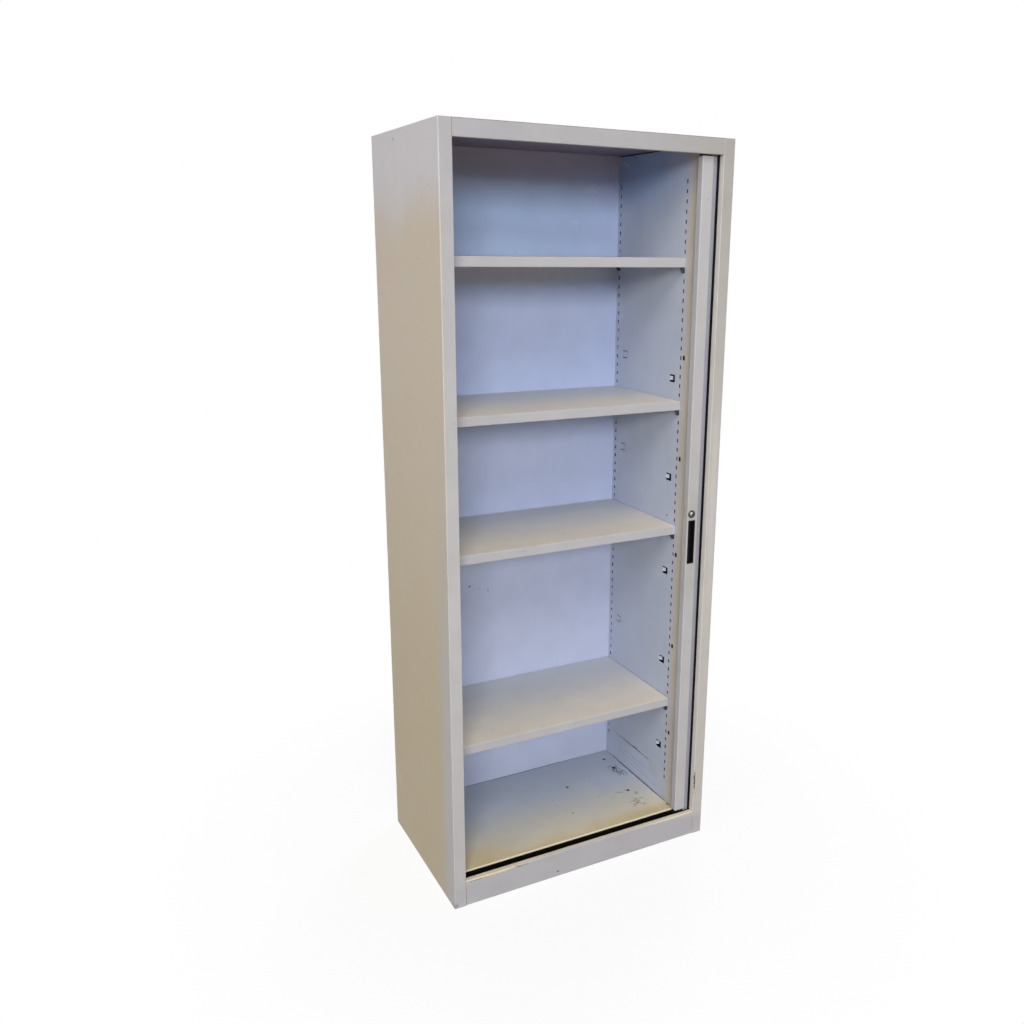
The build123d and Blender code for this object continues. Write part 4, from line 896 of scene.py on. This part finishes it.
slot_of = {piece["node"]: piece["material_slot"] for piece in frame["record"]["subparts"]}
for name, piece in nodes.items():
    piece.data.materials.clear()
    piece.data.materials.append(finish_of_node.get(name, finish_of_slot[slot_of[name]]))
    if name in bevel_mm_of_node:
        bevel = piece.modifiers.new("soft_edges", "BEVEL")
        bevel.width = bevel_mm_of_node[name] * MM
        bevel.segments = BEVEL_SEGMENTS
        bevel.limit_method = "ANGLE"
        bevel.angle_limit = BEVEL_ANGLE
        bevel.use_clamp_overlap = True
print("dressed", len(nodes), "pieces,", len(bevel_mm_of_node), "with soft edges")

# %% [markdown]
# ## Floor
# The cupboard stands on a plain pale floor. What the camera and polished metal see is white, with the
# cupboard's own soft shadow kept; what the paint sees by reflected light is a duller, warmer floor, as in
# a workshop, which gives the sides their warm lower half.

# %% Floor
FLOOR_SIDE = 30.0
FLOOR_SHADE_START = 0.45
FLOOR_SHADE_END = 1.3
FLOOR_WHITE_NEAR = 0.85
FLOOR_BOUNCE = "B8AC94"
WHITE = linear("FFFFFF")


def seen_directly(tree):
    """1 for what the camera sees, itself or in gloss or glass."""
    ray = add(tree, "LightPath", {})
    seen = add(tree, "Math", {"operation": "MAXIMUM"},
               {0: ray.outputs["Is Camera Ray"], 1: ray.outputs["Is Glossy Ray"]})
    through = add(tree, "Math", {"operation": "MAXIMUM"},
                  {0: seen.outputs[0], 1: ray.outputs["Is Transmission Ray"]})
    return through.outputs[0]


def studio_floor():
    """A wide floor that looks white, keeps a soft shadow and reflects a dull warm light."""
    mesh = bpy.data.meshes.new("studio_floor")
    side = FLOOR_SIDE
    corners = [(-side, -side, 0), (side, -side, 0), (side, side, 0), (-side, side, 0)]
    mesh.from_pydata(corners, [], [(0, 1, 2, 3)])
    floor = bpy.data.objects.new("studio_floor", mesh)
    bpy.context.collection.objects.link(floor)
    material, tree, output, where = new_material("studio_floor")
    away = add(tree, "VectorMath", {"operation": "LENGTH"}, {0: where.outputs["Object"]})
    share = add(tree, "MapRange", {"interpolation_type": "SMOOTHSTEP", "From Min": FLOOR_SHADE_START,
                                   "From Max": FLOOR_SHADE_END, "To Min": FLOOR_WHITE_NEAR, "To Max": 1.0},
                {"Value": away.outputs["Value"]})
    white = add(tree, "BsdfDiffuse", {"Color": WHITE})
    glow = add(tree, "Emission", {"Color": WHITE, "Strength": 1.0})
    shown = add(tree, "MixShader", {}, {0: share.outputs[0], 1: white.outputs[0], 2: glow.outputs[0]})
    dull = add(tree, "BsdfDiffuse", {"Color": linear(FLOOR_BOUNCE)})
    both = add(tree, "MixShader", {}, {0: seen_directly(tree), 1: dull.outputs[0], 2: shown.outputs[0]})
    tree.links.new(both.outputs[0], output.inputs["Surface"])
    mesh.materials.append(material)
    return floor


print("standing on", studio_floor().name)

# %% [markdown]
# ## Lamps
# The key lamp stands far off beside the camera and only a little higher, so the shelves' shadows stay
# short and hide behind the shelves. A high lamp lights the shelves and the floor of the cupboard, and two
# weak ones the sides. All of them look at the middle of the cupboard.

# %% Lamps
AIM = (0, 0, 1.0)
WARM_WHITE = "FFFDFA"
COOL_WHITE = "F4F6FF"


def soft_lamp(name, spot, size, power, colour):
    """A rectangular area lamp at a place, turned to the cupboard."""
    data = bpy.data.lights.new(name, "AREA")
    data.shape = "RECTANGLE"
    data.size, data.size_y = size
    data.energy = power
    data.color = linear(colour)[:3]
    lamp = bpy.data.objects.new(name, data)
    bpy.context.collection.objects.link(lamp)
    lamp.location = spot
    lamp.rotation_euler = (Vector(AIM) - Vector(spot)).to_track_quat("-Z", "Y").to_euler()
    return lamp


lamps = [
    soft_lamp("key_lamp", (-3.9, -9.0, 3.75), (4.2, 1.9), 590, WARM_WHITE),
    soft_lamp("high_lamp", (-3.2, -7.6, 8.9), (4.2, 4.2), 530, WARM_WHITE),
    soft_lamp("side_lamp", (-5.0, -1.5, 2.6), (2.4, 2.4), 55, WARM_WHITE),
    soft_lamp("fill_lamp", (4.2, 3.6, 3.0), (2.4, 2.4), 150, COOL_WHITE),
]
print("lamps in watts:", {lamp.name: lamp.data.energy for lamp in lamps})

# %% [markdown]
# ## Sky
# An even, slightly cool sky lights what the lamps miss. Seen directly it is white, like the floor, so the
# cupboard stands free on a white page.

# %% Sky
SKY_COOL = "E4E8F4"
SKY_STRENGTH = 0.20
world = bpy.data.worlds.new("studio")
bpy.context.scene.world = world
world.use_nodes = True
sky = world.node_tree
sky.nodes.clear()
ambient = add(sky, "Background", {"Color": linear(SKY_COOL), "Strength": SKY_STRENGTH})
white = add(sky, "Background", {"Color": WHITE, "Strength": 1.0})
mixed = add(sky, "MixShader", {}, {0: seen_directly(sky), 1: ambient.outputs[0], 2: white.outputs[0]})
add(sky, "OutputWorld", {}, {"Surface": mixed.outputs[0]})
bpy.context.scene.view_settings.view_transform = "Standard"
print("sky strength", SKY_STRENGTH)
